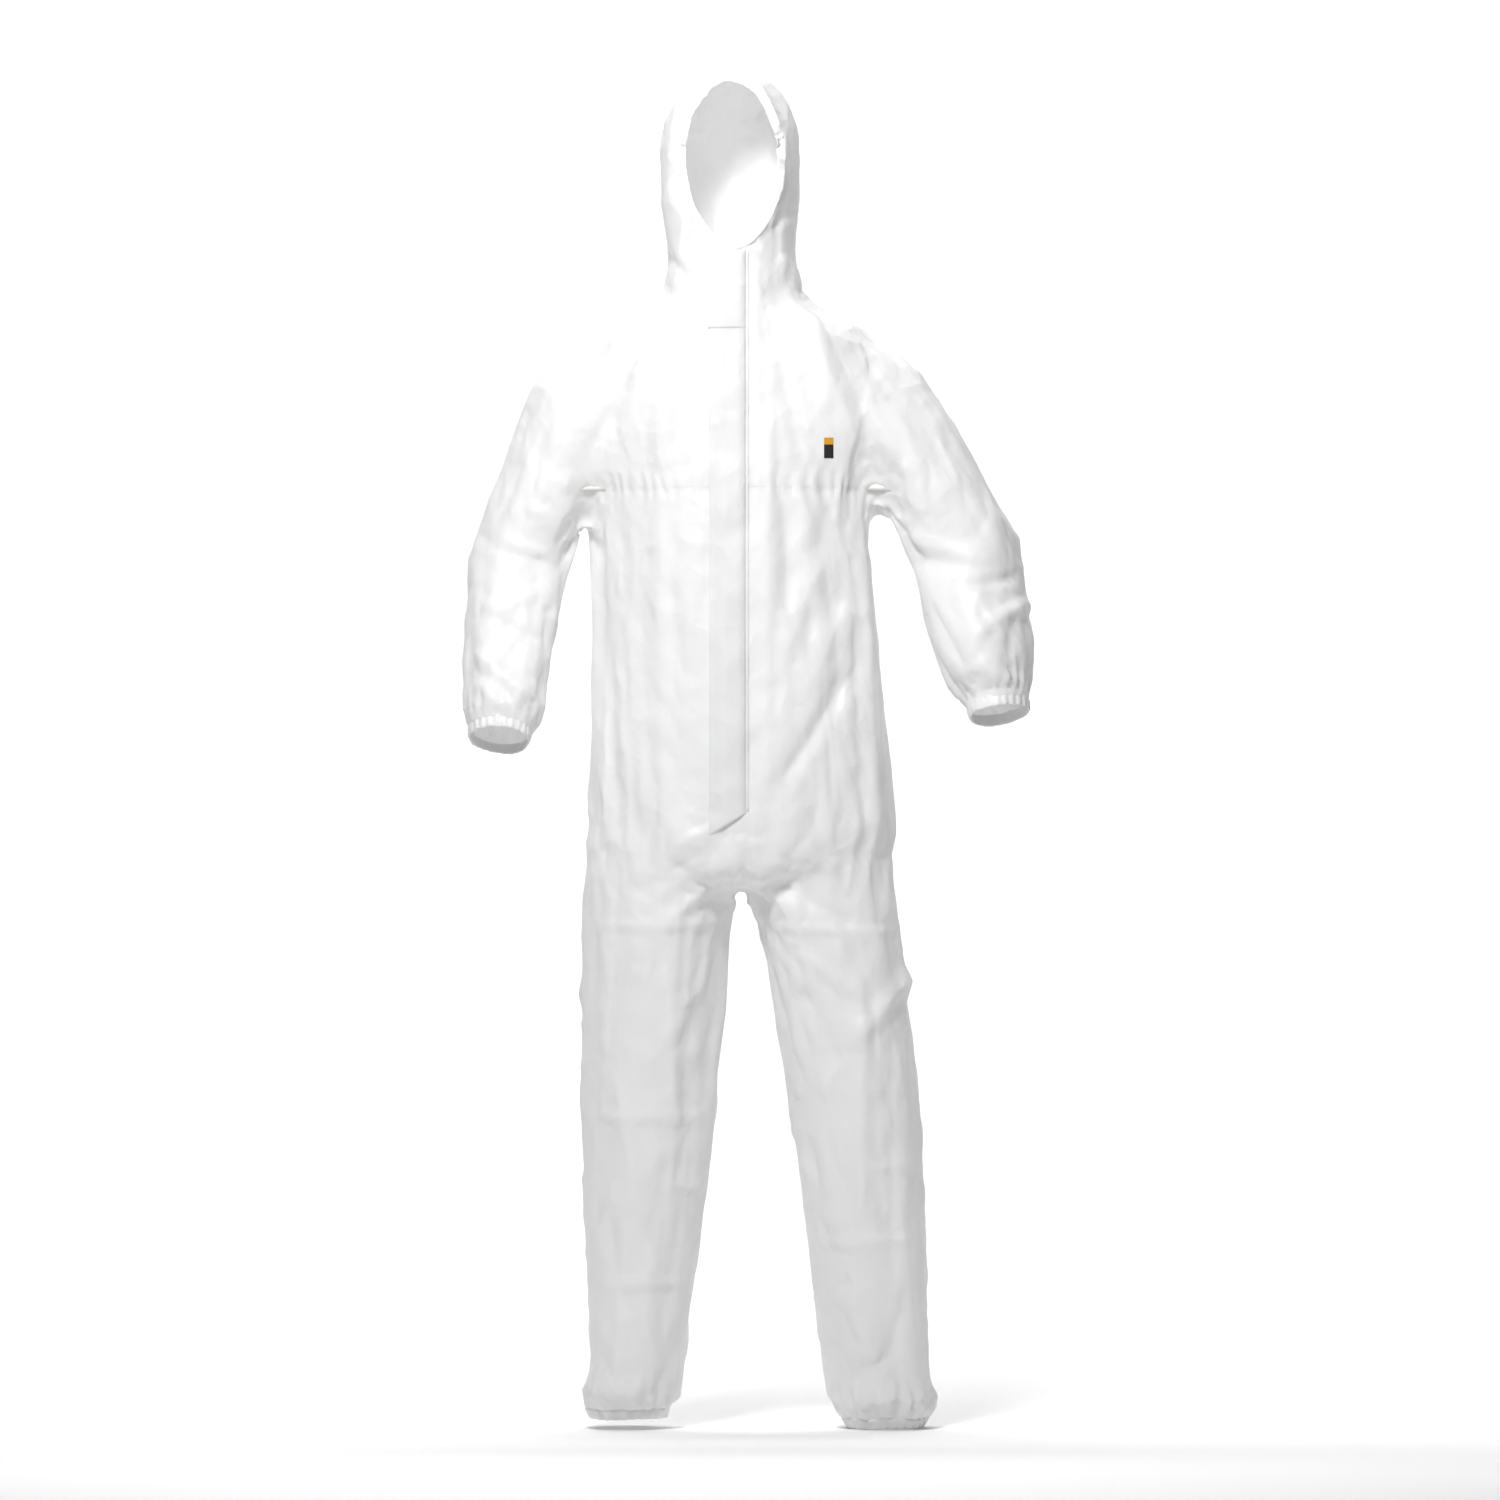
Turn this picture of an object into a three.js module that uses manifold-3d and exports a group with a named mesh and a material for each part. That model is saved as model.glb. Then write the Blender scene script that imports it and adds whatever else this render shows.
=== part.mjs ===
// Hooded protective coverall, worn size L, hanging as it does on a standing wearer.
// Millimetres, +Z up. The origin is the centre of the neck at the collar line, where the suit is
// carried. The wearer faces -Y, and the wearer's left is +X.
// Every cloth piece is a closed sheet: an outer skin, an inner skin and the edges between them.
// The cloth is drawn thicker than it is, so that both its faces show.
import * as THREE from "three";
import { mergeVertices } from "three/addons/utils/BufferGeometryUtils.js";
import Module from "manifold-3d";

const wasm = await Module();
wasm.setup();

// ---------- driving dimensions ----------
const CLOTH = 2; // drawn thickness of the laminate
const SEAM = 0.4; // clear gap between neighbouring pieces
const ANGLED_SEAM = 1; // the same where the pieces meet at an angle
const ELASTIC = 1.2; // thickness of the flat elastics

const body = {
  riseLength: 770, // collar line to crotch
  hoodHeight: 309, // collar line to crown
  neckHalf: 82,
  chestHalf: 180,
  armpitDrop: 238,
  shoulderTipDrop: 36,
  shoulderTipX: 189,
  hipHalf: 206,
  hipDrop: 680,
  hoodHalf: 92,
  frontDepth: 113.6, // collar line forward to the zip
  frontLean: 0.0234, // how far the zip line runs forward for each mm down
  neckBack: 92,
  chestBack: 122,
  waistBack: 104,
  seatBack: 132,
  hoodBack: 130,
};
const waist = { drop: 244, width: 9 };
const face = { centreX: -8, centreZ: 181, halfWidth: 60, halfHeight: 106, casing: 9, elasticGap: 0.9 };
const hood = { seamZ: 50, seamLean: 15, bandHeight: 56, stripHalf: 46, seamGap: 2, stripGap: 1.5 };
const sleeve = {
  pivotX: 184, pivotDrop: 122, upper: 250, forearm: 260,
  headHalf: 74, armHalf: 70, elbowHalf: 63, forearmHalf: 61, cuffHalf: 39.5,
  depthRatio: 1.08, // front to back over side to side
  headLength: 140, // pivot to where the head gives way to the arm
  elbowReach: 60, // half the length that creases when the elbow bends
  casing: 16,
};
const leg = {
  thighHalf: 97, kneeHalf: 83, shinHalf: 75, ankleHalf: 66, puffHalf: 67, hemHalf: 47,
  thighFront: 104, thighBack: 120, kneeFront: 96, kneeBack: 98, shinFront: 86, shinBack: 104,
  ankleFront: 82, ankleBack: 92, hemFront: 58, hemBack: 70,
  hipCut: 15, hipReach: 105, thighLength: 95, kneeReach: 65, // from the crotch down
  puffHeight: 52, // the roll of cloth above the hem
  casing: 16,
};
// The suit hangs a little unevenly, as it does on a wearer. s is -1 for the wearer's right.
const sides = [
  { name: "right", s: -1, spread: 26, forearmSpread: 3, forward: 26, pushedUp: 0, fullness: 0.96,
    hipX: 108, kneeX: 130, ankleX: 141, hemX: 147, inseam: 708 },
  { name: "left", s: 1, spread: 33.5, forearmSpread: 8, forward: 18, pushedUp: 30, fullness: 1.08,
    hipX: 112, kneeX: 162, ankleX: 188, hemX: 194, inseam: 720 },
];
const zip = {
  slotHalf: 9, top: 60, bottom: -668, tapeHalf: 14, tape: 0.8, tapeGap: 1.3, coilHalf: 3.2, coil: 1.6,
  sliderLength: 13, sliderHalf: 5.2, sliderPlate: 1.3, tabLength: 30, tabHalf: 3,
  tabThickness: 1.1, stopLength: 3,
};
const flap = {
  sewnX: 13, freeX: -38, split: -37, bottomSewn: -674, bottomFree: -703,
  thickness: 1.5, standOff: 4.4, hem: 3, tapeWidth: 12, tapeInset: 4, tape: 0.3,
};
const patch = { x: 120, z: -194, half: 12, thickness: 0.6, lift: 0.9 };
const label = { width: 34, height: 48, thickness: 0.6, top: -6 };

// ---------- helpers ----------
const deg = THREE.MathUtils.degToRad;
const smooth = (t) => THREE.MathUtils.smoothstep(t, 0, 1);
const lerp = (a, b, t) => a + (b - a) * t;
const place = (x, y, z) => new THREE.Matrix4().makeTranslation(x, y, z);
const steps = (a, b, n) => Array.from({ length: n + 1 }, (_, i) => lerp(a, b, i / n));
const HALF_TURN = Math.PI;
const QUARTER = Math.PI / 2;

// A three.js geometry as a manifold solid, and back again.
function solid(geometry, matrix = new THREE.Matrix4()) {
  const g = (geometry.index ? geometry.toNonIndexed() : geometry.clone()).applyMatrix4(matrix);
  for (const name of Object.keys(g.attributes)) {
    if (name !== "position") g.deleteAttribute(name);
  }
  const merged = mergeVertices(g, 1e-4);
  return new wasm.Manifold(
    new wasm.Mesh({
      numProp: 3,
      vertProperties: new Float32Array(merged.attributes.position.array),
      triVerts: new Uint32Array(merged.index.array),
    }),
  );
}

function geometryOf(made) {
  const mesh = made.getMesh();
  const points = new Float32Array(mesh.numVert * 3);
  for (let i = 0; i < mesh.numVert; i++) {
    points.set(mesh.vertProperties.subarray(i * mesh.numProp, i * mesh.numProp + 3), i * 3);
  }
  const g = new THREE.BufferGeometry();
  g.setAttribute("position", new THREE.BufferAttribute(points, 3));
  g.setIndex(new THREE.BufferAttribute(new Uint32Array(mesh.triVerts), 1));
  return g;
}

// A box between two corners, as a solid.
function block(x0, x1, y0, y1, z0, z1) {
  const box = new THREE.BoxGeometry(x1 - x0, y1 - y0, z1 - z0);
  box.translate((x0 + x1) / 2, (y0 + y1) / 2, (z0 + z1) / 2);
  return solid(box);
}

// A straight-line table of stations: at(t) gives every field in between.
function stations(key, rows) {
  const fields = Object.keys(rows[0]);
  return (t) => {
    const i = Math.max(1, Math.min(rows.length - 1, rows.findIndex((r) => r[key] >= t)));
    const last = t > rows[rows.length - 1][key] ? rows.length - 1 : i;
    const [a, b] = [rows[last - 1], rows[last]];
    const f = (t - a[key]) / (b[key] - a[key]);
    return Object.fromEntries(fields.map((k) => [k, lerp(a[k], b[k], f)]));
  };
}

const rounded = (value, power) => Math.sign(value) * Math.abs(value) ** power;

// The outward unit normal of a surface point, from its neighbours along both parameters.
function normalAt(surface, u, v, uStep, vStep, vLow, vHigh) {
  const du = surface(u + uStep, v).sub(surface(u - uStep, v));
  const [low, high] = [Math.max(vLow, v - vStep), Math.min(vHigh, v + vStep)];
  const dv = surface(u, high).sub(surface(u, low));
  return du.cross(dv).normalize();
}

// A closed sheet over a surface, between two depths below it. inside is a point that the sheet
// bulges away from. uAt gives the parameter at each crossing, for edges that aren't straight.
function sheet(surface, us, vs, inside, options = {}) {
  const { closed = false, from = 0, to = CLOTH, uAt = (u) => u, uStep = 1e-4, vStep = 1 } = options;
  const [rows, columns] = [vs.length, us.length];
  const [vLow, vHigh] = [Math.min(...vs), Math.max(...vs)];
  const [uMid, vMid] = [us[Math.floor(columns / 2)], vs[Math.floor(rows / 2)]];
  const middle = surface(uAt(uMid, vMid), vMid);
  const turned =
    normalAt(surface, uAt(uMid, vMid), vMid, uStep, vStep, vLow, vHigh).dot(middle.sub(inside)) < 0;
  const points = [[], []];
  for (const v of vs) {
    for (const u0 of us) {
      const u = uAt(u0, v);
      const p = surface(u, v);
      const n = normalAt(surface, u, v, uStep, vStep, vLow, vHigh).multiplyScalar(turned ? -1 : 1);
      points[0].push(p.clone().addScaledVector(n, -from));
      points[1].push(p.clone().addScaledVector(n, -to));
    }
  }
  const count = rows * columns;
  const index = [];
  const quad = (a, b, c, d) => index.push(...(turned ? [a, c, b, a, d, c] : [a, b, c, a, c, d]));
  const across = closed ? columns : columns - 1;
  for (let i = 0; i + 1 < rows; i++) {
    for (let j = 0; j < across; j++) {
      const next = (j + 1) % columns;
      const [a, b] = [i * columns + j, i * columns + next];
      const [c, d] = [b + columns, a + columns];
      quad(a, b, c, d);
      quad(a + count, d + count, c + count, b + count);
    }
    if (!closed) {
      const [a, b] = [i * columns, i * columns + columns - 1];
      quad(a, a + columns, a + columns + count, a + count);
      quad(b, b + count, b + columns + count, b + columns);
    }
  }
  for (let j = 0; j < across; j++) {
    const next = (j + 1) % columns;
    const top = (rows - 1) * columns;
    quad(j, j + count, next + count, next);
    quad(top + j, top + next, top + next + count, top + j + count);
  }
  const g = new THREE.BufferGeometry();
  const flat = points.flat().flatMap((p) => [p.x, p.y, p.z]);
  g.setAttribute("position", new THREE.Float32BufferAttribute(flat, 3));
  g.setIndex(index);
  return g;
}

// ---------- body, neck and hood ----------
const frontAt = (z) => body.frontDepth - body.frontLean * z;
const crotchZ = -body.riseLength;
const pitZ = -body.armpitDrop;
const tipZ = -body.shoulderTipDrop;
const hipZ = crotchZ - leg.hipCut;
const forkTop = crotchZ + 62; // above it each level is one ring
const h = body.hoodHeight;

// shift is how far the middle of the ring lies towards the wearer's left.
const trunkAt = stations("z", [
  { z: crotchZ - 20, half: 202, shift: 5, front: frontAt(forkTop) - 4, back: 124, square: 2.5 },
  { z: forkTop, half: 202, shift: 5, front: frontAt(forkTop), back: body.seatBack - 2, square: 2.5 },
  { z: -body.hipDrop, half: body.hipHalf, shift: 5, front: frontAt(-body.hipDrop),
    back: body.seatBack, square: 2.6 },
  { z: -560, half: 192, shift: 3, front: frontAt(-560), back: 118, square: 2.6 },
  { z: -430, half: 180, shift: 0, front: frontAt(-430), back: body.waistBack, square: 2.6 },
  { z: -300, half: 178, shift: -6, front: frontAt(-300), back: 110, square: 2.6 },
  { z: pitZ, half: body.chestHalf, shift: -8, front: frontAt(pitZ), back: body.chestBack,
    square: 2.6 },
  { z: -190, half: 192, shift: -8, front: frontAt(-190), back: body.chestBack, square: 2.6 },
  { z: -130, half: 206, shift: -8, front: frontAt(-130), back: body.chestBack - 2, square: 2.6 },
  { z: -80, half: 205, shift: -8, front: frontAt(-80), back: body.chestBack - 6, square: 2.5 },
  { z: tipZ, half: body.shoulderTipX, shift: -8, front: frontAt(tipZ), back: 112, square: 2.4 },
  { z: -18, half: 140, shift: -8, front: frontAt(-18), back: 102, square: 2.7 },
  { z: -4, half: 96, shift: -8, front: frontAt(-4), back: 95, square: 3 },
  { z: 14, half: body.neckHalf, shift: -8, front: frontAt(14), back: body.neckBack, square: 3 },
  { z: 70, half: body.neckHalf, shift: -8, front: frontAt(70), back: 104, square: 3 },
  { z: h - 179, half: body.hoodHalf - 2, shift: -8, front: 112, back: body.hoodBack - 8,
    square: 2.3 },
  { z: h - 125, half: body.hoodHalf, shift: -6, front: 111, back: body.hoodBack, square: 2.3 },
  { z: h - 85, half: body.hoodHalf - 1, shift: -6, front: 105, back: body.hoodBack - 2,
    square: 2.2 },
  { z: h - 50, half: 79, shift: -7, front: 92, back: 114, square: 2.1 },
  { z: h - 22, half: 57, shift: -8, front: 68, back: 86, square: 2.1 },
  { z: h - 6, half: 30, shift: -8, front: 38, back: 50, square: 2 },
  { z: h, half: 10, shift: -8, front: 8, back: 12, square: 2 },
]);

// The ring's point at an angle: -90 degrees is the zip, 0 the left side and 90 the middle back.
function trunkRing(angle, z) {
  const r = trunkAt(z);
  const [c, s] = [Math.cos(angle), Math.sin(angle)];
  const side = c < 0 ? r.half - r.shift : r.half + r.shift;
  const depth = s < 0 ? r.front : r.back;
  return new THREE.Vector3(
    side * rounded(c, 2 / r.square), depth * rounded(s, 2 / r.square), z);
}

// The angle from the side at which the ring of one side lies x from the middle.
function turnAt(s, x, z) {
  const r = trunkAt(z);
  const ratio = Math.min(1, Math.max(0, x / (r.half + s * r.shift)));
  return Math.acos(ratio ** (r.square / 2));
}

// Below the fork a quarter of the trunk's ring becomes half of a leg's. u runs from the middle of
// the body to the side seam, for the front (f = -1) or the back (f = 1).
const armX = (side, z) => lerp(body.chestHalf + side.s * -8,
  body.shoulderTipX + side.s * -8, (z - pitZ) / (tipZ - pitZ));

function panelPoint(side, f, u, z) {
  const inArmhole = z > pitZ && z < tipZ;
  const edge = inArmhole ? turnAt(side.s, armX(side, z), z) : 0;
  const middle = f < 0 ? turnAt(side.s, zip.slotHalf, Math.max(z, forkTop)) : QUARTER;
  const slot = f < 0 && z < zip.bottom ? smooth((z - forkTop) / (zip.bottom - forkTop)) : 1;
  const start = lerp(QUARTER, middle, slot);
  const angle = f * lerp(start, edge, u);
  const ringPoint = trunkRing(side.s > 0 ? angle : HALF_TURN - angle, z);
  if (z >= forkTop) return ringPoint;
  const t = (z - hipZ) / (forkTop - hipZ);
  const legPoint = legRing(side, f * lerp(HALF_TURN, 0, u), hipZ);
  const made = legPoint.setZ(z).lerp(ringPoint, smooth(t));
  const fork = (crotchZ - hipZ) / (forkTop - hipZ);
  const inner = legRing(side, HALF_TURN, hipZ);
  const run = Math.max(0, (t - fork) / (1 - fork));
  const target = new THREE.Vector3(
    lerp(inner.x, side.s * SEAM / 2, Math.min(1, t / fork)),
    f * (f < 0 ? frontAt(forkTop) : body.seatBack - 2) * (1 - (1 - run) ** 1.8),
    t < fork ? z : lerp(crotchZ, forkTop, run ** 2));
  const atEdge = legRing(side, HALF_TURN, hipZ).setZ(z)
    .lerp(new THREE.Vector3(0, f * (f < 0 ? frontAt(forkTop) : body.seatBack - 2), z), smooth(t));
  return made.addScaledVector(target.sub(atEdge), (1 - u) ** 3);
}

// ---------- sleeves ----------
// Where a sleeve runs: its shoulder, elbow and cuff, and the directions between them.
function armOf(side) {
  const [a, b, f] = [deg(side.spread), deg(side.forearmSpread), deg(side.forward)];
  const upper = new THREE.Vector3(side.s * Math.sin(a), 0, -Math.cos(a));
  const lower = new THREE.Vector3(
    side.s * Math.sin(b) * Math.cos(f), -Math.sin(f), -Math.cos(b) * Math.cos(f));
  const shoulder = new THREE.Vector3(side.s * sleeve.pivotX - 8, 0, -sleeve.pivotDrop);
  const elbow = shoulder.clone().addScaledVector(upper, sleeve.upper);
  const length = sleeve.upper + sleeve.forearm - side.pushedUp;
  return { upper, lower, shoulder, elbow, length };
}

// t is the distance along the sleeve from the shoulder's pivot. 0 degrees is the outer side,
// -90 the front.
function sleeveRing(side, angle, t) {
  const arm = armOf(side);
  const bend = sleeve.elbowReach * 0.6;
  const turn = smooth((t - sleeve.upper + bend) / (2 * bend));
  const direction = arm.upper.clone().lerp(arm.lower, turn).normalize();
  const centre = t < sleeve.upper
    ? arm.shoulder.clone().addScaledVector(arm.upper, t)
    : arm.elbow.clone().addScaledVector(arm.lower, t - sleeve.upper);
  const full = side.fullness;
  const half = stations("t", [
    { t: 0, half: sleeve.headHalf + 8 },
    { t: sleeve.headLength, half: sleeve.armHalf * full },
    { t: sleeve.upper, half: sleeve.elbowHalf * full },
    { t: sleeve.upper + sleeve.elbowReach, half: sleeve.forearmHalf * full },
    { t: arm.length - 95, half: sleeve.forearmHalf * full },
    { t: arm.length - 50, half: sleeve.forearmHalf * full - 5 },
    { t: arm.length - sleeve.casing - 4, half: sleeve.cuffHalf },
    { t: arm.length, half: sleeve.cuffHalf },
  ])(t).half;
  const back = new THREE.Vector3(0, 1, 0).addScaledVector(direction, -direction.y).normalize();
  const out = new THREE.Vector3().crossVectors(direction, back).multiplyScalar(side.s).normalize();
  return centre
    .addScaledVector(out, half * Math.cos(angle))
    .addScaledVector(back, half * sleeve.depthRatio * Math.sin(angle));
}

// The sleeve's head runs from the armhole's edge to the arm's first full ring.
function headPoint(side, angle, t) {
  const f = Math.sin(angle) < 0 ? -1 : 1;
  const lift = (1 + Math.cos(angle)) / 2; // 0 at the armpit, 1 at the shoulder's tip
  const z = lerp(pitZ, tipZ, lift);
  const x = armX(side, z);
  const turn = turnAt(side.s, x, z);
  const depth = Math.abs(trunkRing(f * turn, z).y);
  const edge = new THREE.Vector3(side.s * (x + ANGLED_SEAM), f * depth, z);
  const w = t / sleeve.headLength;
  const bulge = 16 * Math.sin(Math.PI * w) * lift;
  const made = edge.lerp(sleeveRing(side, angle, sleeve.headLength), w);
  return made.add(new THREE.Vector3(side.s * bulge, 0, bulge * 0.5));
}

// ---------- legs ----------
const hemZ = (side) => crotchZ - side.inseam;

function legTable(side) {
  const hem = hemZ(side);
  const knee = hipZ - leg.hipReach - leg.thighLength - leg.kneeReach;
  const puffTop = hem + leg.puffHeight;
  const end = { half: leg.hemHalf, x: side.hemX, front: leg.hemFront, back: leg.hemBack };
  const mid = (knee + puffTop) / 2;
  return stations("z", [
    { z: hem, ...end },
    { z: hem + leg.casing + 1, ...end },
    { z: hem + leg.puffHeight * 0.5, half: leg.puffHalf, x: side.hemX, front: leg.ankleFront,
      back: leg.ankleBack },
    { z: hem + leg.puffHeight * 0.8, half: leg.puffHalf, x: side.hemX - 1, front: leg.ankleFront,
      back: leg.ankleBack },
    { z: puffTop, half: leg.ankleHalf - 2, x: side.ankleX, front: leg.ankleFront - 5,
      back: leg.ankleBack - 4 },
    { z: puffTop + 60, half: leg.ankleHalf + 1, x: lerp(side.ankleX, side.kneeX, 0.15),
      front: leg.ankleFront, back: leg.ankleBack },
    { z: mid, half: leg.shinHalf, x: lerp(side.ankleX, side.kneeX, 0.5), front: leg.shinFront,
      back: leg.shinBack },
    { z: knee, half: leg.kneeHalf, x: side.kneeX, front: leg.kneeFront, back: leg.kneeBack },
    { z: hipZ - leg.hipReach, half: leg.thighHalf - 6, x: lerp(side.hipX, side.kneeX, 0.4),
      front: leg.thighFront - 3, back: leg.thighBack - 10 },
    { z: hipZ, half: leg.thighHalf, x: side.hipX, front: leg.thighFront, back: leg.thighBack },
  ]);
}
const legAt = Object.fromEntries(sides.map((side) => [side.name, legTable(side)]));

// 0 degrees is the outer side of either leg, and -90 its front.
function legRing(side, angle, z) {
  const r = legAt[side.name](z);
  const [c, s] = [Math.cos(angle), Math.sin(angle)];
  const depth = s < 0 ? r.front : r.back;
  const square = 2 / 2.3;
  return new THREE.Vector3(side.s * (r.x + r.half * rounded(c, square)) + 2,
    depth * rounded(s, square), z);
}

// ---------- the pieces ----------
const suit = new THREE.Group();
const looks = {
  laminate: { color: 0xf1f2f3, roughness: 0.55, metalness: 0 },
  elastic: { color: 0xe9e9e6, roughness: 0.8, metalness: 0 },
  zipTape: { color: 0xeeeeec, roughness: 0.85, metalness: 0 },
  zipCoil: { color: 0xf0f0ee, roughness: 0.4, metalness: 0 },
  slider: { color: 0xe6e6e4, roughness: 0.35, metalness: 0 },
  liner: { color: 0xd9dde0, roughness: 0.3, metalness: 0 },
  label: { color: 0xf6f6f4, roughness: 0.6, metalness: 0 },
  badge: { color: 0x2c2c2e, roughness: 0.6, metalness: 0 },
};
const material = Object.fromEntries(
  Object.entries(looks).map(([k, v]) => [k, new THREE.MeshStandardMaterial(v)]));

function keep(name, made, look, parent = suit) {
  const mesh = new THREE.Mesh(made.isBufferGeometry ? made : geometryOf(made), material[look]);
  mesh.name = name;
  parent.add(mesh);
}

const NICK = 1.2e-3; // the seam gap as a share of a panel's width
const between = (low, high, inner = []) => [
  low + SEAM / 2, ...inner.filter((v) => v > low + 4 && v < high - 4), high - SEAM / 2];
const axisAt = (z) => new THREE.Vector3(0, 0, z);

const armholeLevels = [pitZ, -220, -190, -160, -130, -105, -80, -58, tipZ];
const trunkLevels = [
  hipZ, crotchZ, crotchZ + 14, crotchZ + 34, forkTop, -body.hipDrop, -560, -430, -300,
  ...armholeLevels, -18, -4,
];
const PANEL_COLUMNS = 7;
for (const side of sides) {
  for (const [where, f] of [["front", -1], ["back", 1]]) {
    keep(`${where}_${side.name}_panel`,
      sheet((u, z) => panelPoint(side, f, u, z), steps(NICK, 1 - NICK, PANEL_COLUMNS),
        between(hipZ, 0, trunkLevels), axisAt(-400)), "laminate");
  }
}
const elasticDepths = { from: CLOTH + SEAM, to: CLOTH + SEAM + ELASTIC };
// The elastic follows the panels' own facets, so it takes its angles from their columns.
const shares = steps(0, 1, PANEL_COLUMNS);
const slotTurn = (s) => turnAt(s, zip.slotHalf, -waist.drop);
const waistGap = (s) => turnAt(s, zip.tapeHalf + 2, -waist.drop);
const waistAngles = [
  -waistGap(1),
  ...shares.slice(1).map((u) => -slotTurn(1) * (1 - u)),
  ...shares.slice(1).map((u) => QUARTER * u),
  ...shares.slice(1).map((u) => QUARTER + QUARTER * u),
  ...shares.slice(1, -1).map((u) => HALF_TURN + slotTurn(-1) * u),
  HALF_TURN + waistGap(-1),
];
keep("waist_elastic",
  sheet(trunkRing, waistAngles, [-waist.drop - waist.width, -waist.drop], axisAt(-waist.drop),
    elasticDepths), "elastic");

// The neck stands up to a seam that is higher at the chin than at the nape.
const hoodSeam = (angle) => hood.seamZ - hood.seamLean * Math.sin(angle);
for (const side of sides) {
  const surface = (u, share) => {
    const start = turnAt(side.s, zip.slotHalf, hoodSeam(-QUARTER) * share);
    const angle = lerp(-start, QUARTER, u);
    const z = lerp(SEAM / 2, hoodSeam(angle) - SEAM / 2, share);
    return trunkRing(side.s > 0 ? angle : HALF_TURN - angle, z);
  };
  keep(`neck_${side.name}_panel`,
    sheet(surface, steps(NICK, 1 - NICK, 12), [0, 0.3, 1], axisAt(30), { vStep: 0.02 }), "laminate");
}

// How far the egg of the face opening reaches to one side at a level.
function faceX(s, z, grow) {
  const up = (z - face.centreZ) / (face.halfHeight + grow);
  const across = Math.sqrt(Math.max(0, 1 - up * up)) * (up < 0 ? 1 - 0.16 * up * up : 1);
  return across * (face.halfWidth + grow) + s * face.centreX;
}
const edgeGrow = face.casing + hood.seamGap;
const settle = (s, xOf, zOf) => {
  let angle = 1;
  for (let i = 0; i < 30; i++) angle = (angle + turnAt(s, xOf(zOf(-angle)), zOf(-angle))) / 2;
  return angle;
};
const bandZ = (angle, share) => lerp(
  hoodSeam(angle) + hood.seamGap, hoodSeam(angle) + hood.bandHeight, share);
const bandStart = (s, share) => settle(
  s, (z) => Math.max(zip.slotHalf, faceX(s, z, edgeGrow)), (angle) => bandZ(angle, share));
keep("hood_neck_band",
  sheet((angle, share) => trunkRing(angle, bandZ(angle, share)), steps(0, 1, 26),
    [0, 0.04, 0.1, 0.18, 0.3, 0.45, 0.62, 0.8, 1],
    axisAt(70), { vStep: 0.02, uAt: (u, share) => lerp(
      -bandStart(1, share), HALF_TURN + bandStart(-1, share), u) }), "laminate");

// The cheeks run from the face and the middle strip round to the strip at the back.
const stripX = (s) => hood.stripHalf + s * face.centreX;
const cheekTop = h - 17;
for (const side of sides) {
  const s = side.s;
  const cheekZ = (angle, share) => lerp(
    hoodSeam(angle) + hood.bandHeight + hood.seamGap, cheekTop, share);
  const top = face.centreZ + face.halfHeight + edgeGrow;
  const frontX = (z) => Math.max(stripX(s) + hood.stripGap, z < top ? faceX(s, z, edgeGrow) : 0);
  const backX = () => stripX(s) + hood.stripGap;
  const surface = (angle, share) => {
    const own = trunkRing(s > 0 ? angle : HALF_TURN - angle, cheekZ(angle, share));
    return own;
  };
  const edges = (share) => [
    -settle(s, frontX, (angle) => cheekZ(angle, share)),
    settle(s, backX, (angle) => cheekZ(-angle, share))];
  keep(`hood_${side.name}_panel`,
    sheet(surface, steps(0, 1, 8), steps(0, 1, 9), axisAt(180),
      { vStep: 0.02, uAt: (u, share) => lerp(...edges(share), u) }), "laminate");
}

// The middle strip runs from the brow over the crown and down the back.
function hoodDepth(x, z, f) {
  const r = trunkAt(z);
  const reach = x < 0 ? r.half - r.shift : r.half + r.shift;
  const ratio = Math.min(1, Math.abs(x) / reach);
  return f * (f < 0 ? r.front : r.back) * (1 - ratio ** r.square) ** (1 / r.square);
}
function ridgeZ(x) {
  let [low, high] = [h - 85, h];
  for (let i = 0; i < 24; i++) {
    const z = (low + high) / 2;
    const r = trunkAt(z);
    if ((x < 0 ? r.half - r.shift : r.half + r.shift) > Math.abs(x)) low = z;
    else high = z;
  }
  return low;
}
function browZ(x, grow) {
  const across = Math.min(1, Math.abs(x - face.centreX) / (face.halfWidth + grow));
  return face.centreZ + (face.halfHeight + grow) * Math.sqrt(1 - across * across);
}
function stripPoint(x, v) {
  const ridge = ridgeZ(x);
  if (v <= 1) {
    const z = lerp(browZ(x, edgeGrow), ridge, Math.sin(v * QUARTER));
    return new THREE.Vector3(x, v === 1 ? 0 : hoodDepth(x, z, -1), z);
  }
  const low = hoodSeam(QUARTER) + hood.bandHeight + hood.seamGap;
  const z = lerp(ridge, low, 1 - Math.cos((v - 1) * QUARTER));
  return new THREE.Vector3(x, hoodDepth(x, z, 1), z);
}
keep("hood_centre_panel",
  sheet(stripPoint, steps(-stripX(-1) + hood.stripGap, stripX(1) - hood.stripGap, 6),
    [0, 0.35, 0.7, 1, 1.25, 1.45, 1.65, 1.85, 2], axisAt(180), { uStep: 0.5, vStep: 0.02 }),
  "laminate");

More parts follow.
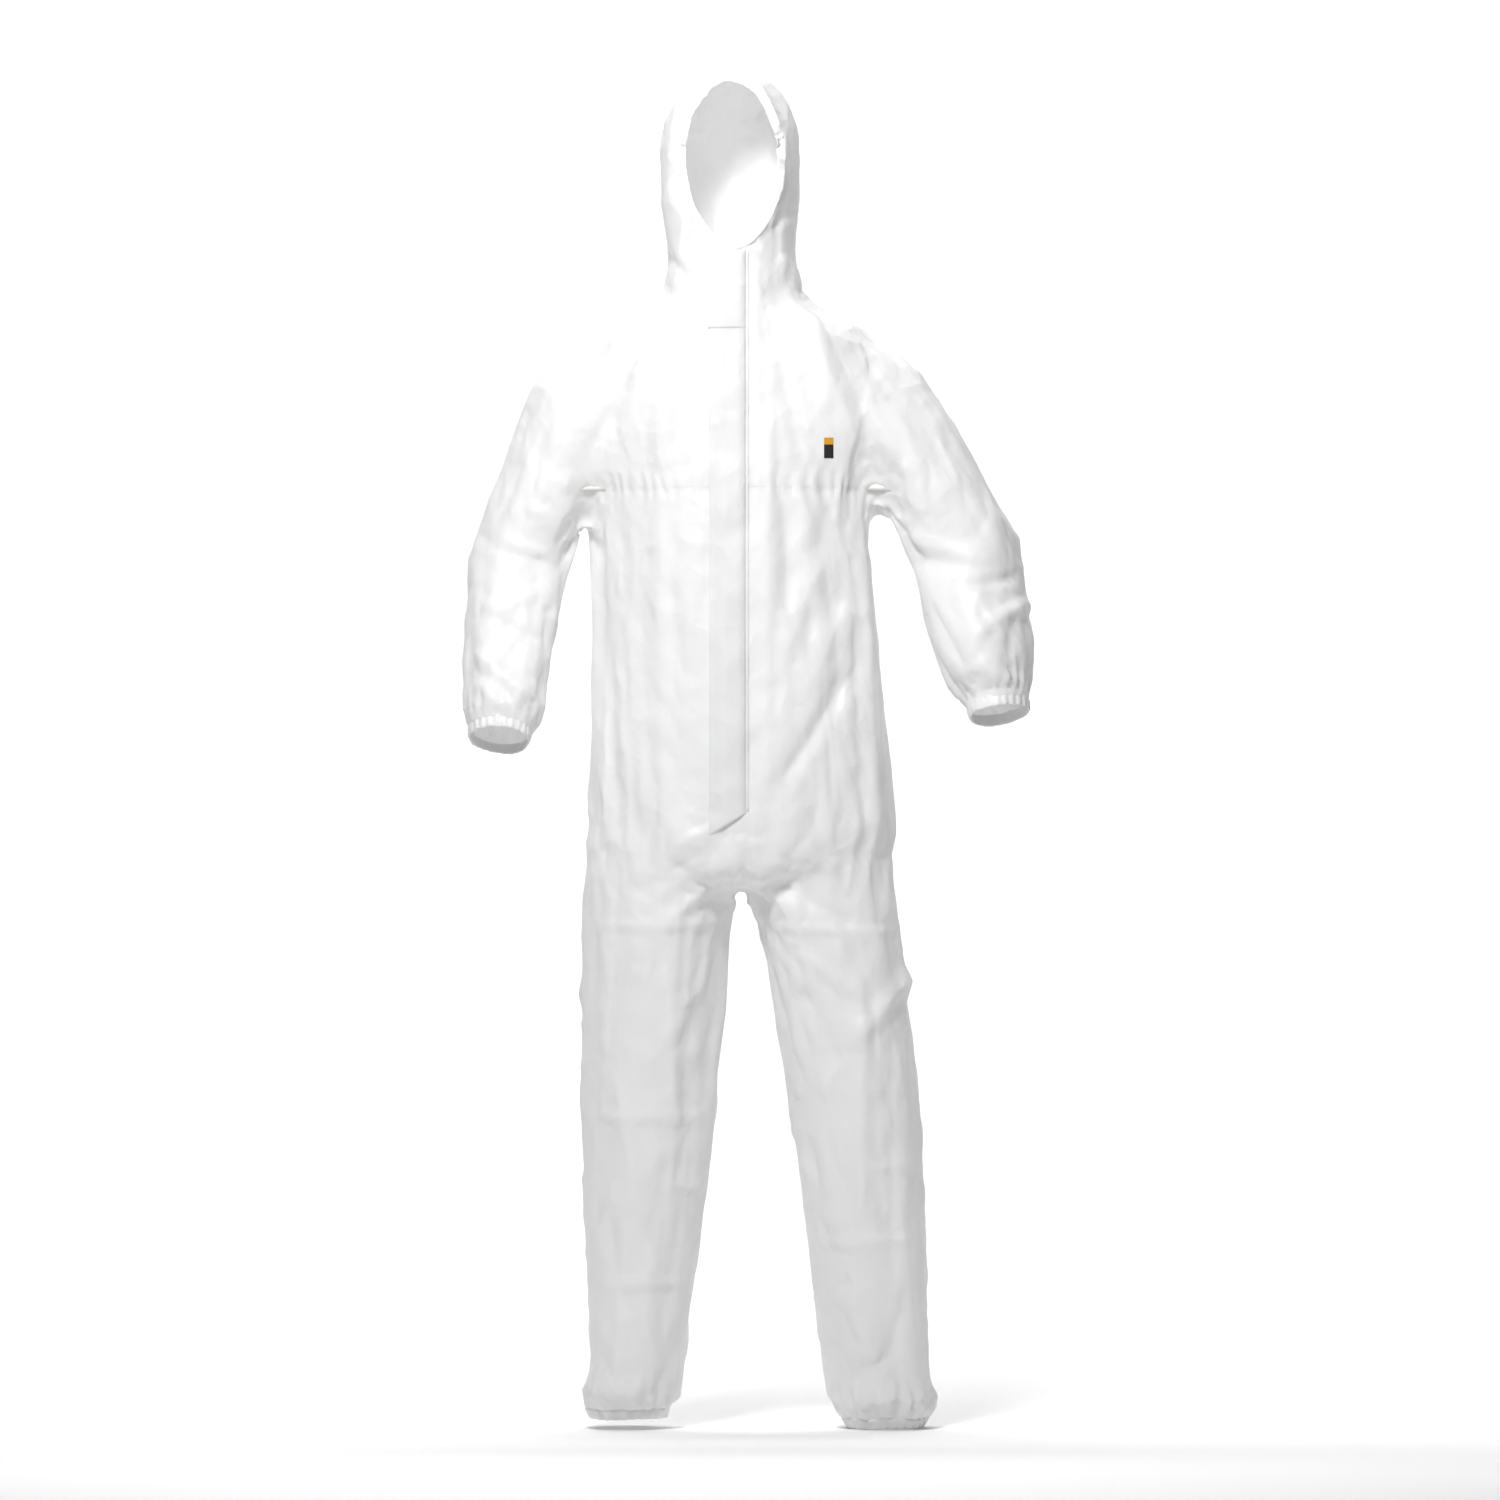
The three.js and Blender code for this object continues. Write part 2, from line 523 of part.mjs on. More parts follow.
// The hem of the face opening is a casing round a flat elastic.
function facePoint(angle, grow) {
  const up = Math.sin(angle);
  const z = face.centreZ + (face.halfHeight + grow) * up;
  const across = Math.cos(angle) * (up < 0 ? 1 - 0.16 * up * up : 1);
  const x = face.centreX + (face.halfWidth + grow) * across;
  return new THREE.Vector3(x, hoodDepth(x, z, -1), z);
}
const round = (n) => steps(0, 2 * Math.PI, n).slice(0, n);
keep("hood_face_casing",
  sheet(facePoint, round(36), [0, face.casing / 2, face.casing], axisAt(180), { closed: true }),
  "laminate");
keep("hood_face_elastic",
  sheet(facePoint, round(36), [2, face.casing / 2, face.casing - 2], axisAt(180),
    { closed: true, from: CLOTH + face.elasticGap, to: CLOTH + face.elasticGap + ELASTIC }),
  "elastic");

// Sleeves: head, arm, elbow and forearm, then the cuff's casing and its elastic.
for (const side of sides) {
  const arm = armOf(side);
  const tube = (name, surface, low, high, inner, angles = round(18)) =>
    keep(`${side.name}_${name}`,
      sheet(surface, angles, between(low, high, inner),
        surface(0, (low + high) / 2).lerp(surface(HALF_TURN, (low + high) / 2), 0.5),
        { closed: true }), "laminate");
  const ring = (angle, t) => sleeveRing(side, angle, t);
  const turns = armholeLevels.map((z) => Math.acos((2 * (z - pitZ)) / (tipZ - pitZ) - 1));
  const headAngles = [...turns.map((a) => -a), ...turns.slice(1, -1).reverse()];
  const elbowStart = sleeve.upper - sleeve.elbowReach;
  const elbowEnd = sleeve.upper + sleeve.elbowReach;
  const cuffStart = arm.length - sleeve.casing;
  tube("sleeve_head", (angle, t) => headPoint(side, angle, t), 0,
    sleeve.headLength - 2 * ANGLED_SEAM, [45, 95],
    headAngles);
  tube("sleeve_arm", ring, sleeve.headLength, elbowStart);
  tube("sleeve_elbow", ring, elbowStart, elbowEnd, steps(elbowStart, elbowEnd, 6));
  tube("sleeve_forearm", ring, elbowEnd, cuffStart, [arm.length - 95, arm.length - 50]);
  tube("cuff_casing", ring, cuffStart, arm.length);
  keep(`${side.name}_cuff_elastic`,
    sheet(ring, round(18), [cuffStart + 3, arm.length - 3],
      ring(0, arm.length).lerp(ring(HALF_TURN, arm.length), 0.5),
      { closed: true, ...elasticDepths }), "elastic");
}

// Legs: a hip section and a knee section that crease, and front and back panels between.
for (const side of sides) {
  const hem = hemZ(side);
  const ring = (angle, z) => legRing(side, angle, z);
  const thighTop = hipZ - leg.hipReach;
  const kneeTop = thighTop - leg.thighLength;
  const shinTop = kneeTop - 2 * leg.kneeReach;
  const inside = (z) => ring(0, z).lerp(ring(HALF_TURN, z), 0.5);
  const tube = (name, low, high, inner) =>
    keep(`${side.name}_${name}`,
      sheet(ring, round(20), between(low, high, inner), inside(low), { closed: true }), "laminate");
  tube("leg_hip", thighTop, hipZ - ANGLED_SEAM, steps(thighTop, hipZ, 3));
  tube("leg_knee", shinTop, kneeTop, steps(shinTop, kneeTop, 4));
  const puff = [0.5, 0.8, 1].map((share) => hem + leg.puffHeight * share);
  const shinLevels = [...puff, hem + leg.puffHeight + 60, (shinTop + hem) / 2];
  for (const [where, f] of [["front", -1], ["back", 1]]) {
    const ends = [f * 2 * NICK, f * (HALF_TURN - 2 * NICK)].sort((a, b) => a - b);
    const edges = steps(...ends, 10);
    const panel = (name, low, high, inner) =>
      keep(`${side.name}_${name}_${where}`,
        sheet(ring, edges, between(low, high, inner), inside((low + high) / 2)), "laminate");
    panel("thigh", kneeTop, thighTop);
    panel("shin", hem + leg.casing, shinTop, shinLevels);
  }
  tube("ankle_casing", hem - SEAM / 2, hem + leg.casing);
  keep(`${side.name}_ankle_elastic`,
    sheet(ring, round(20), [hem + 3, hem + leg.casing - 3], inside(hem),
      { closed: true, ...elasticDepths }), "elastic");
}

// ---------- the zip, in its own frame: z runs up it, and y = 0 is the cloth's outer face ----------
const placket = new THREE.Group();
placket.position.set(0, -body.frontDepth, 0);
placket.rotation.x = -Math.atan(body.frontLean);
suit.add(placket);
const tapeY = CLOTH + zip.tapeGap;
const coilY = tapeY - 0.3;
for (const side of sides) {
  const mirrored = (a, b) => (side.s > 0 ? [a, b] : [-b, -a]);
  keep(`zip_tape_${side.name}`,
    block(...mirrored(SEAM / 2, zip.tapeHalf), tapeY, tapeY + zip.tape, zip.bottom - 6,
      zip.top + 3), "zipTape", placket);
  keep(`zip_coil_${side.name}`,
    block(...mirrored(SEAM / 2, zip.coilHalf), coilY - zip.coil, coilY, zip.bottom, zip.top),
    "zipCoil", placket);
  keep(`zip_top_stop_${side.name}`,
    block(...mirrored(SEAM / 2, zip.coilHalf), coilY - zip.coil, coilY, zip.top + SEAM,
      zip.top + zip.stopLength), "slider", placket);
}
keep("zip_bottom_stop",
  block(-zip.coilHalf, zip.coilHalf, coilY - zip.coil, coilY, zip.bottom - zip.stopLength - SEAM,
    zip.bottom - SEAM), "slider", placket);

// The slider is a channel that straddles both coils, with a bridge that its pull tab hooks round.
const sliderZ = zip.top - 1 - zip.sliderLength / 2;
const sliderEnds = [sliderZ - zip.sliderLength / 2, sliderZ + zip.sliderLength / 2];
const plateY = coilY - zip.coil - 0.3;
const faceY = plateY - zip.sliderPlate;
const wallY = tapeY - 0.3;
const wallX = zip.coilHalf + 0.4;
const plate = block(-zip.sliderHalf, zip.sliderHalf, faceY, wallY, ...sliderEnds);
const groove = block(-wallX, wallX, plateY, wallY + 1, sliderEnds[0] - 1, sliderEnds[1] + 1);
const tabY = [faceY - 0.3 - zip.tabThickness, faceY - 0.3];
const beamY = tabY[0] - 0.3;
const bridge = { half: 1, reach: 4.4, post: 1.2, beam: 0.6 };
const arch = block(-bridge.half, bridge.half, beamY - bridge.beam, faceY + 0.1,
  sliderZ - bridge.reach, sliderZ + bridge.reach);
const under = block(-bridge.half - 1, bridge.half + 1, beamY, faceY,
  sliderZ - bridge.reach + bridge.post, sliderZ + bridge.reach - bridge.post);
keep("zip_slider", plate.subtract(groove).add(arch.subtract(under)), "slider", placket);
const tabTop = sliderZ + 1;
const eye = block(-bridge.half - 0.4, bridge.half + 0.4, tabY[0] - 1, tabY[1] + 1,
  sliderZ - bridge.reach - 0.8, sliderZ - 1);
keep("zip_pull_tab",
  block(-zip.tabHalf, zip.tabHalf, ...tabY, tabTop - zip.tabLength, tabTop).subtract(eye),
  "slider", placket);

// ---------- the flaps over the zip ----------
const flapInner = -flap.standOff;
const hingeX = flap.sewnX - flap.hem;
function flapPiece(corners) {
  const outline = new THREE.Shape(corners.map(([x, z]) => new THREE.Vector2(x, z)));
  const cut = new THREE.ExtrudeGeometry(outline, { depth: flap.thickness, bevelEnabled: false });
  cut.rotateX(QUARTER); // drawn in XZ
  return solid(cut, place(0, flapInner, 0));
}
const flapEdge = hingeX - SEAM;
const chinTop = zip.top + 5;
keep("flap_sewn_edge",
  block(hingeX, flap.sewnX, flapInner - flap.thickness, -SEAM, flap.bottomSewn, chinTop),
  "laminate", placket);
const stormTop = flap.split - SEAM;
keep("storm_flap",
  flapPiece([
    [flap.freeX, flap.bottomFree], [flapEdge, flap.bottomSewn], [flapEdge, stormTop],
    [flap.freeX, stormTop],
  ]), "laminate", placket);
keep("chin_flap",
  flapPiece([
    [flap.freeX, flap.split], [flapEdge, flap.split], [flapEdge, chinTop],
    [flap.freeX + 14, chinTop], [flap.freeX + 4, chinTop - 4], [flap.freeX, chinTop - 14],
  ]), "laminate", placket);
const tapeX = flap.freeX + flap.tapeInset;
const strip = (low, high) =>
  block(tapeX, tapeX + flap.tapeWidth, flapInner + 0.3, flapInner + 0.3 + flap.tape, low, high);
keep("storm_flap_adhesive", strip(flap.bottomFree + 14, stormTop - 6), "liner", placket);
keep("chin_flap_adhesive", strip(flap.split + 8, chinTop - 20), "liner", placket);

// ---------- the chest badge, and the care label sewn in at the back of the neck ----------
const chest = (u, z) => panelPoint(sides[1], -1, u, z);
const badgeColumn = 4; // the panel facet that carries it
const badgeU = (share) => lerp(badgeColumn, badgeColumn + 1, share) / PANEL_COLUMNS;
const badge = (share, z) =>
  chest(badgeU(0), z).lerp(chest(badgeU(1), z), share);
keep("chest_badge",
  sheet(badge, steps(0.15, 0.85, 1), [patch.z - patch.half, patch.z + patch.half], axisAt(patch.z),
    { from: -patch.lift - patch.thickness, to: -patch.lift, uStep: 0.05 }), "badge");
const labelY = 95 - CLOTH - 0.8;
keep("care_label",
  block(-label.width / 2 - 8, label.width / 2 - 8, labelY - label.thickness, labelY,
    label.top - label.height, label.top), "label");

export default suit;
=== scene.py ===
# %% [markdown]
# # A hooded protective coverall
# One sheet of white laminate is shaped over the figure that fills it, let go so that gravity and its
# own slack fold it, and then cut along its seams into the panels that it is sewn from.

# %% Set up
import math

import bmesh
import bpy
import numpy as np
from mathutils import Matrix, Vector, noise
from mathutils.bvhtree import BVHTree
from mathutils.kdtree import KDTree


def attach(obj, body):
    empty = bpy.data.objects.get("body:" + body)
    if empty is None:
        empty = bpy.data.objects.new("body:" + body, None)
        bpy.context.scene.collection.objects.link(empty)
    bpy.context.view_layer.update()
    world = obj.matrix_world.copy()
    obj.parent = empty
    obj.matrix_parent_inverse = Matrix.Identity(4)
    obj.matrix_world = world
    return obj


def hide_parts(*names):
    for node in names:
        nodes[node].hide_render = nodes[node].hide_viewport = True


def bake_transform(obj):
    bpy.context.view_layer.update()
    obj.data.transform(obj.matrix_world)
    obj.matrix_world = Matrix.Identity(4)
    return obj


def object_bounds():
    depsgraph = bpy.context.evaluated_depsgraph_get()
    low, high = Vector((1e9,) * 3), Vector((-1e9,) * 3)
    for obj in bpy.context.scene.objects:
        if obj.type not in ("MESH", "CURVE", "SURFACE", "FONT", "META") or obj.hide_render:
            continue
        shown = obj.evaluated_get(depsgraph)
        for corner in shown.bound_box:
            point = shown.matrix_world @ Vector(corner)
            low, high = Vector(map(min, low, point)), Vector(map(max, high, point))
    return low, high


bpy.ops.wm.read_factory_settings(use_empty=True)
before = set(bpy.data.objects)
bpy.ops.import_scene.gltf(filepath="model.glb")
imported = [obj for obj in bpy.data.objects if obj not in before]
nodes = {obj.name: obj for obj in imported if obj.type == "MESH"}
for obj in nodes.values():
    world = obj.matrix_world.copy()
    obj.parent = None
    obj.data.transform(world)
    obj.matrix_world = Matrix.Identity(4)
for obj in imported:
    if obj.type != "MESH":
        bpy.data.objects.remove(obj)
cad_low, cad_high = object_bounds()
scene = bpy.context.scene
print("the frame is", [round(b - a, 3) for a, b in zip(cad_low, cad_high)], "metres")

# %% [markdown]
# The figure is described by level rings: how wide, how deep to the front and the back, and how
# square. The suit hangs a little unevenly, so each side has its own numbers.

# %% Rings of the body, neck and hood
MM = 0.001
CROTCH = -0.770
PIT = -0.238
WAIST_Z = -0.246


def front_at(z):
    return 0.1136 - 0.0234 * z


# height, half width, shift to the left, front and back depth, squareness; millimetres but the last
TRUNK = np.array([
    (-776, 30, 3, 40, 40, 2.0),
    (-768, 90, 4, 92, 98, 2.1),
    (-750, 160, 5, 120, 118, 2.3),
    (-725, 194, 5, 129, 126, 2.5),
    (-708, 202, 5, 130, 130, 2.5),
    (-680, 206, 5, 129.5, 132, 2.6),
    (-560, 192, 3, 126.7, 118, 2.6),
    (-430, 180, 0, 123.7, 104, 2.6),
    (-300, 178, -6, 120.6, 110, 2.6),
    (-238, 180, -8, 119.2, 122, 2.6),
    (-190, 190, -8, 118.0, 122, 2.6),
    (-130, 198, -8, 116.6, 120, 2.6),
    (-80, 198, -8, 115.5, 116, 2.5),
    (-50, 190, -8, 114.8, 114, 2.4),
    (-30, 160, -8, 114.3, 106, 2.5),
    (-14, 120, -8, 113.9, 98, 2.7),
    (0, 92, -8, 113.6, 94, 3.0),
    (14, 84, -8, 113.3, 92, 3.0),
    (70, 82, -8, 112.0, 104, 3.0),
    (130, 90, -8, 112.0, 122, 2.3),
    (184, 92, -6, 111.0, 130, 2.3),
    (224, 91, -6, 105.0, 128, 2.2),
    (259, 79, -7, 92.0, 114, 2.1),
    (287, 57, -8, 68.0, 86, 2.1),
    (303, 30, -8, 38.0, 50, 2.0),
    (309, 10, -8, 8.0, 12, 2.0),
])


def signed_power(v, p):
    return np.sign(v) * np.abs(v) ** p


def oval(angles, half_left, half_right, front, back, square):
    c, s = np.cos(angles), np.sin(angles)
    x = np.where(c < 0, half_right, half_left) * signed_power(c, 2 / square)
    y = np.where(s < 0, front, back) * signed_power(s, 2 / square)
    return x, y


def ring_table(table, z):
    return [np.interp(z, table[:, 0], table[:, i]) for i in range(1, table.shape[1])]


def trunk_ring(z, angles):
    half, shift, front, back, square = ring_table(TRUNK, z)
    x, y = oval(angles, half + shift, half - shift, front, back, square)
    return np.stack([x, y, np.full_like(x, z)], 1)


# %% Where the sleeves and legs run
SIDES = {
    "right": dict(s=-1, spread=26, fore=3, forward=26, fore_length=260, full=0.96,
                  hip=108, knee=130, ankle=141, hem=147, inseam=708),
    "left": dict(s=1, spread=33.5, fore=8, forward=18, fore_length=230, full=1.08,
                 hip=112, knee=162, ankle=188, hem=194, inseam=720),
}

UPPER_ARM = 250


def arm_of(side):
    a, b, f = (math.radians(side[k]) for k in ("spread", "fore", "forward"))
    s = side["s"]
    upper = np.array([s * math.sin(a), 0, -math.cos(a)])
    lower = np.array([s * math.sin(b) * math.cos(f), -math.sin(f), -math.cos(b) * math.cos(f)])
    shoulder = np.array([s * 184 - 8, 0, -122.0])
    elbow = shoulder + UPPER_ARM * upper
    return upper, lower, shoulder, elbow, UPPER_ARM + side["fore_length"]


def sleeve_half(side, t):
    full, end = side["full"], UPPER_ARM + side["fore_length"]
    at = [-64, -50, -20, 20, 140, UPPER_ARM, 310, end - 95, end - 50, end - 20, end]
    half = [20, 48, 68, 76, 70 * full, 63 * full, 61 * full, 61 * full, 61 * full - 5, 43, 39.5]
    return np.interp(t, at, half)


def sleeve_ring(side, t, angles):
    upper, lower, shoulder, elbow, end = arm_of(side)
    turn = np.clip((t - UPPER_ARM + 36) / 72, 0, 1)
    turn = turn * turn * (3 - 2 * turn)
    direction = upper * (1 - turn) + lower * turn
    direction /= np.linalg.norm(direction)
    centre = shoulder + upper * t if t < UPPER_ARM else elbow + lower * (t - UPPER_ARM)
    back = np.array([0, 1.0, 0]) - direction * direction[1]
    back /= np.linalg.norm(back)
    out = np.cross(direction, back) * side["s"]
    half = sleeve_half(side, t)
    c, s = np.cos(angles)[:, None], np.sin(angles)[:, None]
    return centre + out * half * c + back * half * 1.08 * s


def leg_table(side):
    hem = CROTCH * 1000 - side["inseam"]
    knee, top = -1050, hem + 52
    mix = lambda w: side["ankle"] * (1 - w) + side["knee"] * w
    return np.array([
        (hem - 30, 47, side["hem"], 58, 70),
        (hem, 47, side["hem"], 58, 70),
        (hem + 12, 52, side["hem"], 62, 74),
        (hem + 26, 66, side["hem"], 80, 90),
        (hem + 42, 68, side["hem"] - 1, 84, 94),
        (top, 64, side["ankle"], 77, 88),
        (top + 60, 67, mix(0.15), 82, 92),
        ((knee + top) / 2, 75, mix(0.5), 86, 104),
        (knee, 83, side["knee"], 96, 98),
        (-890, 92, side["hip"] * 0.6 + side["knee"] * 0.4, 101, 110),
        (-785, 97, side["hip"], 104, 120),
        (-740, 94, side["hip"] - 4, 110, 122),
        (-690, 80, side["hip"] - 12, 100, 108),
        (-660, 40, side["hip"] - 18, 60, 60),
    ])


def leg_ring(side, z, angles):
    half, x0, front, back = ring_table(leg_table(side), z)
    x, y = oval(angles, half, half, front, back, 2.3)
    return np.stack([side["s"] * (x0 + x) + 2, y, np.full_like(x, z)], 1)


def tube(rings):
    """A closed tube through rings of equal count, with fans over both ends."""
    n, count = len(rings[0]), len(rings)
    verts = np.concatenate([*rings, [rings[0].mean(0)], [rings[-1].mean(0)]]) * MM
    faces = []
    for r in range(count - 1):
        for i in range(n):
            j = (i + 1) % n
            faces.append((r * n + i, r * n + j, (r + 1) * n + j, (r + 1) * n + i))
    for i in range(n):
        j = (i + 1) % n
        faces.append((count * n, j, i))
        faces.append((count * n + 1, (count - 1) * n + i, (count - 1) * n + j))
    return verts, faces


def make_object(name, verts, faces, edges=()):
    mesh = bpy.data.meshes.new(name)
    mesh.from_pydata([tuple(v) for v in verts], edges, [tuple(f) for f in faces])
    mesh.update()
    obj = bpy.data.objects.new(name, mesh)
    scene.collection.objects.link(obj)
    return obj


def consistent(obj):
    bm = bmesh.new()
    bm.from_mesh(obj.data)
    bmesh.ops.recalc_face_normals(bm, faces=bm.faces)
    bm.to_mesh(obj.data)
    bm.free()


def figure(name, voxel, smoothing):
    angles = np.linspace(0, 2 * np.pi, 72, endpoint=False)
    heights = np.unique(np.concatenate([np.arange(-770, 305, 12), TRUNK[:, 0]]))
    parts = [tube([trunk_ring(z, angles) for z in heights])]
    for side in SIDES.values():
        end = UPPER_ARM + side["fore_length"]
        ts = np.concatenate([[-64, -58], np.arange(-50, end + 24, 10)])
        parts.append(tube([sleeve_ring(side, t, angles) for t in ts]))
        zs = np.arange(CROTCH * 1000 - side["inseam"] - 28, -660, 12)
        parts.append(tube([leg_ring(side, z, angles) for z in zs]))
    verts, faces, start = [], [], 0
    for v, f in parts:
        obj = make_object("part", v, f)
        consistent(obj)
        me = obj.data
        verts.append(np.array([p.co for p in me.vertices]))
        faces += [tuple(i + start for i in p.vertices) for p in me.polygons]
        start += len(v)
        bpy.data.objects.remove(obj)
    obj = make_object(name, np.concatenate(verts), faces)
    remesh = obj.modifiers.new("Fuse", "REMESH")
    remesh.mode = "VOXEL"
    remesh.voxel_size = voxel
    soften = obj.modifiers.new("Soften", "SMOOTH")
    soften.factor = 0.5
    soften.iterations = smoothing
    return bake(obj)


def bake(obj):
    """The object with its modifiers worked into its mesh."""
    bpy.context.view_layer.update()
    made = bpy.data.meshes.new_from_object(obj.evaluated_get(bpy.context.evaluated_depsgraph_get()))
    obj.modifiers.clear()
    old = obj.data
    obj.data = made
    bpy.data.meshes.remove(old)
    return obj


garment = figure("garment", 0.010, 6)
print("the whole suit has", len(garment.data.vertices), "points")

# %% Cut the openings
FACE = dict(x=-8, z=181, w=60, h=106, casing=9)


def face_share(x, z, grow=0.0):
    """1 on the edge of the face opening, less inside it."""
    up = (z / MM - FACE["z"]) / (FACE["h"] + grow)
    narrow = np.where(up < 0, 1 - 0.16 * up * up, 1)
    across = (x / MM - FACE["x"]) / ((FACE["w"] + grow) * narrow)
    return np.sqrt(across ** 2 + up ** 2)


def cut_plane(bm, point, normal, near):
    """Cuts the faces whose centre near accepts along a plane."""
    faces = [f for f in bm.faces if near(f.calc_center_median())]
    edges = {e for f in faces for e in f.edges}
    verts = {v for f in faces for v in f.verts}
    bmesh.ops.bisect_plane(bm, geom=[*verts, *edges, *faces], plane_co=point, plane_no=normal,
                           dist=0.0015)


def drop(bm, test):
    bmesh.ops.delete(bm, geom=[f for f in bm.faces if test(f.calc_center_median())],
                     context="FACES")
    bmesh.ops.delete(bm, geom=[v for v in bm.verts if not v.link_faces], context="VERTS")


bm = bmesh.new()
bm.from_mesh(garment.data)
for name, side in SIDES.items():
    s = side["s"]
    hem = CROTCH - side["inseam"] * MM
    own = lambda c, s=s: c.x * s > 0 and c.z < -1.2
    cut_plane(bm, (0, 0, hem + 0.006), (0, 0, 1), own)
    drop(bm, lambda c, own=own, hem=hem: own(c) and c.z < hem + 0.006)
    upper, lower, shoulder, elbow, end = arm_of(side)
    cuff = Vector((elbow + lower * (end - UPPER_ARM - 6)) * MM)
    out = Vector(lower)
    cut_plane(bm, cuff, out, lambda c, cuff=cuff: (c - cuff).length < 0.12)
    drop(bm, lambda c, cuff=cuff, out=out: (c - cuff).length < 0.12 and (c - cuff).dot(out) > 0)
drop(bm, lambda c: c.y < -0.03 and face_share(c.x, c.z, 3.0) < 1)
for v in bm.verts:
    if v.is_boundary and v.co.z > 0.03 and v.co.y < 0:
        for _ in range(4):
            share = face_share(v.co.x, v.co.z, 3.0)
            v.co.x = FACE["x"] * MM + (v.co.x - FACE["x"] * MM) / share
            v.co.z = FACE["z"] * MM + (v.co.z - FACE["z"] * MM) / share
edge_points = np.array([v.is_boundary for v in bm.verts])
bm.to_mesh(garment.data)
bm.free()
print("cut to", len(garment.data.vertices), "points")

# %% [markdown]
# A disposable suit is cut larger than the body in it. Here the cloth's resting size is 4 to 7 per
# cent more than the space it fills, and gravity finds where that slack goes: long folds that run
# down from the shoulders, and crumples at the elbows and above the hems. The zip placket is held,
# because the zip and the flap over it are stiffer than the cloth.

# %% Hang the suit
SLACK_ACROSS = 1.045
SLACK_DOWN = 1.07
# height and the room between cloth and wearer there; the shoulders and hood carry the cloth
GAP_AT = np.array([(-1.49, 7), (-0.80, 8), (-0.70, 17), (-0.26, 17), (-0.16, 3), (0.31, 2)])
ARM_GAP, ARM_X = 10, 0.225
FRAMES = 30


def points_of(obj, kind="co"):
    out = np.empty(len(obj.data.vertices) * 3)
    obj.data.vertices.foreach_get(kind, out)
    return out.reshape(-1, 3)


def set_points(obj, points):
    obj.data.vertices.foreach_set("co", np.ascontiguousarray(points).ravel())
    obj.data.update()


def cloud(points, size, shift=0.0):
    """Smooth noise, about -1 to 1, with bumps of the given size in metres."""
    offset = Vector((shift, shift * 0.7, 0))
    return np.array([noise.noise(Vector(p) / size + offset) for p in points])


def held_share(points, at_edge):
    """How firmly each point is held: 1 is fixed, 0 hangs freely."""
    x, y, z = points.T
    tree = KDTree(int(at_edge.sum()))
    for i in np.nonzero(at_edge)[0]:
        tree.insert(points[i], i)
    tree.balance()
    distance = np.array([tree.find(p)[2] for p in points])
    to_crotch = np.sqrt((x - 0.003) ** 2 + 0.3 * y ** 2 + (z - CROTCH) ** 2)
    hems = np.clip(1.5 - distance / 0.008, 0, 1)
    placket = ((np.abs(x) < 0.022) & (y < 0) & (z < 0.06) & (z > -0.70)) * 1.0
    hood = 0.1 * (z > 0.05)
    crotch = np.clip(1.8 - to_crotch / 0.030, 0, 1)
    waist = 0.08 * ((np.abs(z - WAIST_Z) < 0.009) & (np.abs(x) < 0.2))
    return np.max([hems, placket, hood, crotch, waist, np.full(len(points), 0.003)], axis=0)


def hang(suit, at_edge):
    """Where every point of the suit comes to rest."""
    rest = points_of(suit)
    start = rest + points_of(suit, "normal") * 0.004 * (
        cloud(rest, 1 / 22) + 0.5 * cloud(rest, 1 / 60))[:, None]
    wearer = figure("wearer", 0.016, 4)
    body_points = points_of(wearer)
    gap = np.interp(body_points[:, 2], GAP_AT[:, 0], GAP_AT[:, 1])
    gap = np.where(np.abs(body_points[:, 0]) > ARM_X, np.minimum(gap, ARM_GAP), gap)
    set_points(wearer, body_points - points_of(wearer, "normal") * gap[:, None] * MM)
    wearer.modifiers.new("Body", "COLLISION")
    wearer.collision.thickness_outer = 0.002
    wearer.collision.cloth_friction = 10
    set_points(suit, start)
    group = suit.vertex_groups.new(name="held")
    for i, share in enumerate(held_share(rest, at_edge)):
        group.add([i], float(share), "REPLACE")
    suit.shape_key_add(name="Basis")
    larger = suit.shape_key_add(name="Cut size")
    slack = start * (SLACK_ACROSS, SLACK_ACROSS, SLACK_DOWN)
    larger.data.foreach_set("co", slack.ravel())
    larger.value = 0
    cloth = suit.modifiers.new("Hang", "CLOTH")
    settings = cloth.settings
    settings.quality = 4
    settings.mass = 0.04
    settings.air_damping = 1
    settings.tension_stiffness = settings.compression_stiffness = 20
    settings.shear_stiffness = 10
    settings.bending_stiffness = 0.12
    settings.tension_damping = settings.compression_damping = settings.shear_damping = 1
    settings.bending_damping = 0.1
    settings.vertex_group_mass = group.name
    settings.pin_stiffness = 1
    settings.rest_shape_key = larger
    cloth.collision_settings.collision_quality = 2
    cloth.collision_settings.distance_min = 0.003
    cloth.point_cache.frame_start = 1
    cloth.point_cache.frame_end = FRAMES
    for step in range(1, FRAMES + 1):
        scene.frame_set(step)
    evaluated = suit.evaluated_get(bpy.context.evaluated_depsgraph_get())
    out = np.empty(len(rest) * 3)
    evaluated.data.vertices.foreach_get("co", out)
    suit.modifiers.clear()
    suit.shape_key_clear()
    suit.vertex_groups.clear()
    set_points(suit, rest)
    bpy.data.objects.remove(wearer)
    scene.frame_set(1)
    return out.reshape(-1, 3)


hung = hang(garment, edge_points)
print("hung; the mean move is", round(float(np.linalg.norm(
    hung - points_of(garment), axis=1).mean()) * 1000, 1), "mm")

# %% [markdown]
# The pattern of such a suit has two fronts and two backs, a hood of two sides and a centre strip,
# a collar, and legs and sleeves in tubes. The seams are cut in the shape before hanging, where they
# are straight, and the hung places are carried along with every point.

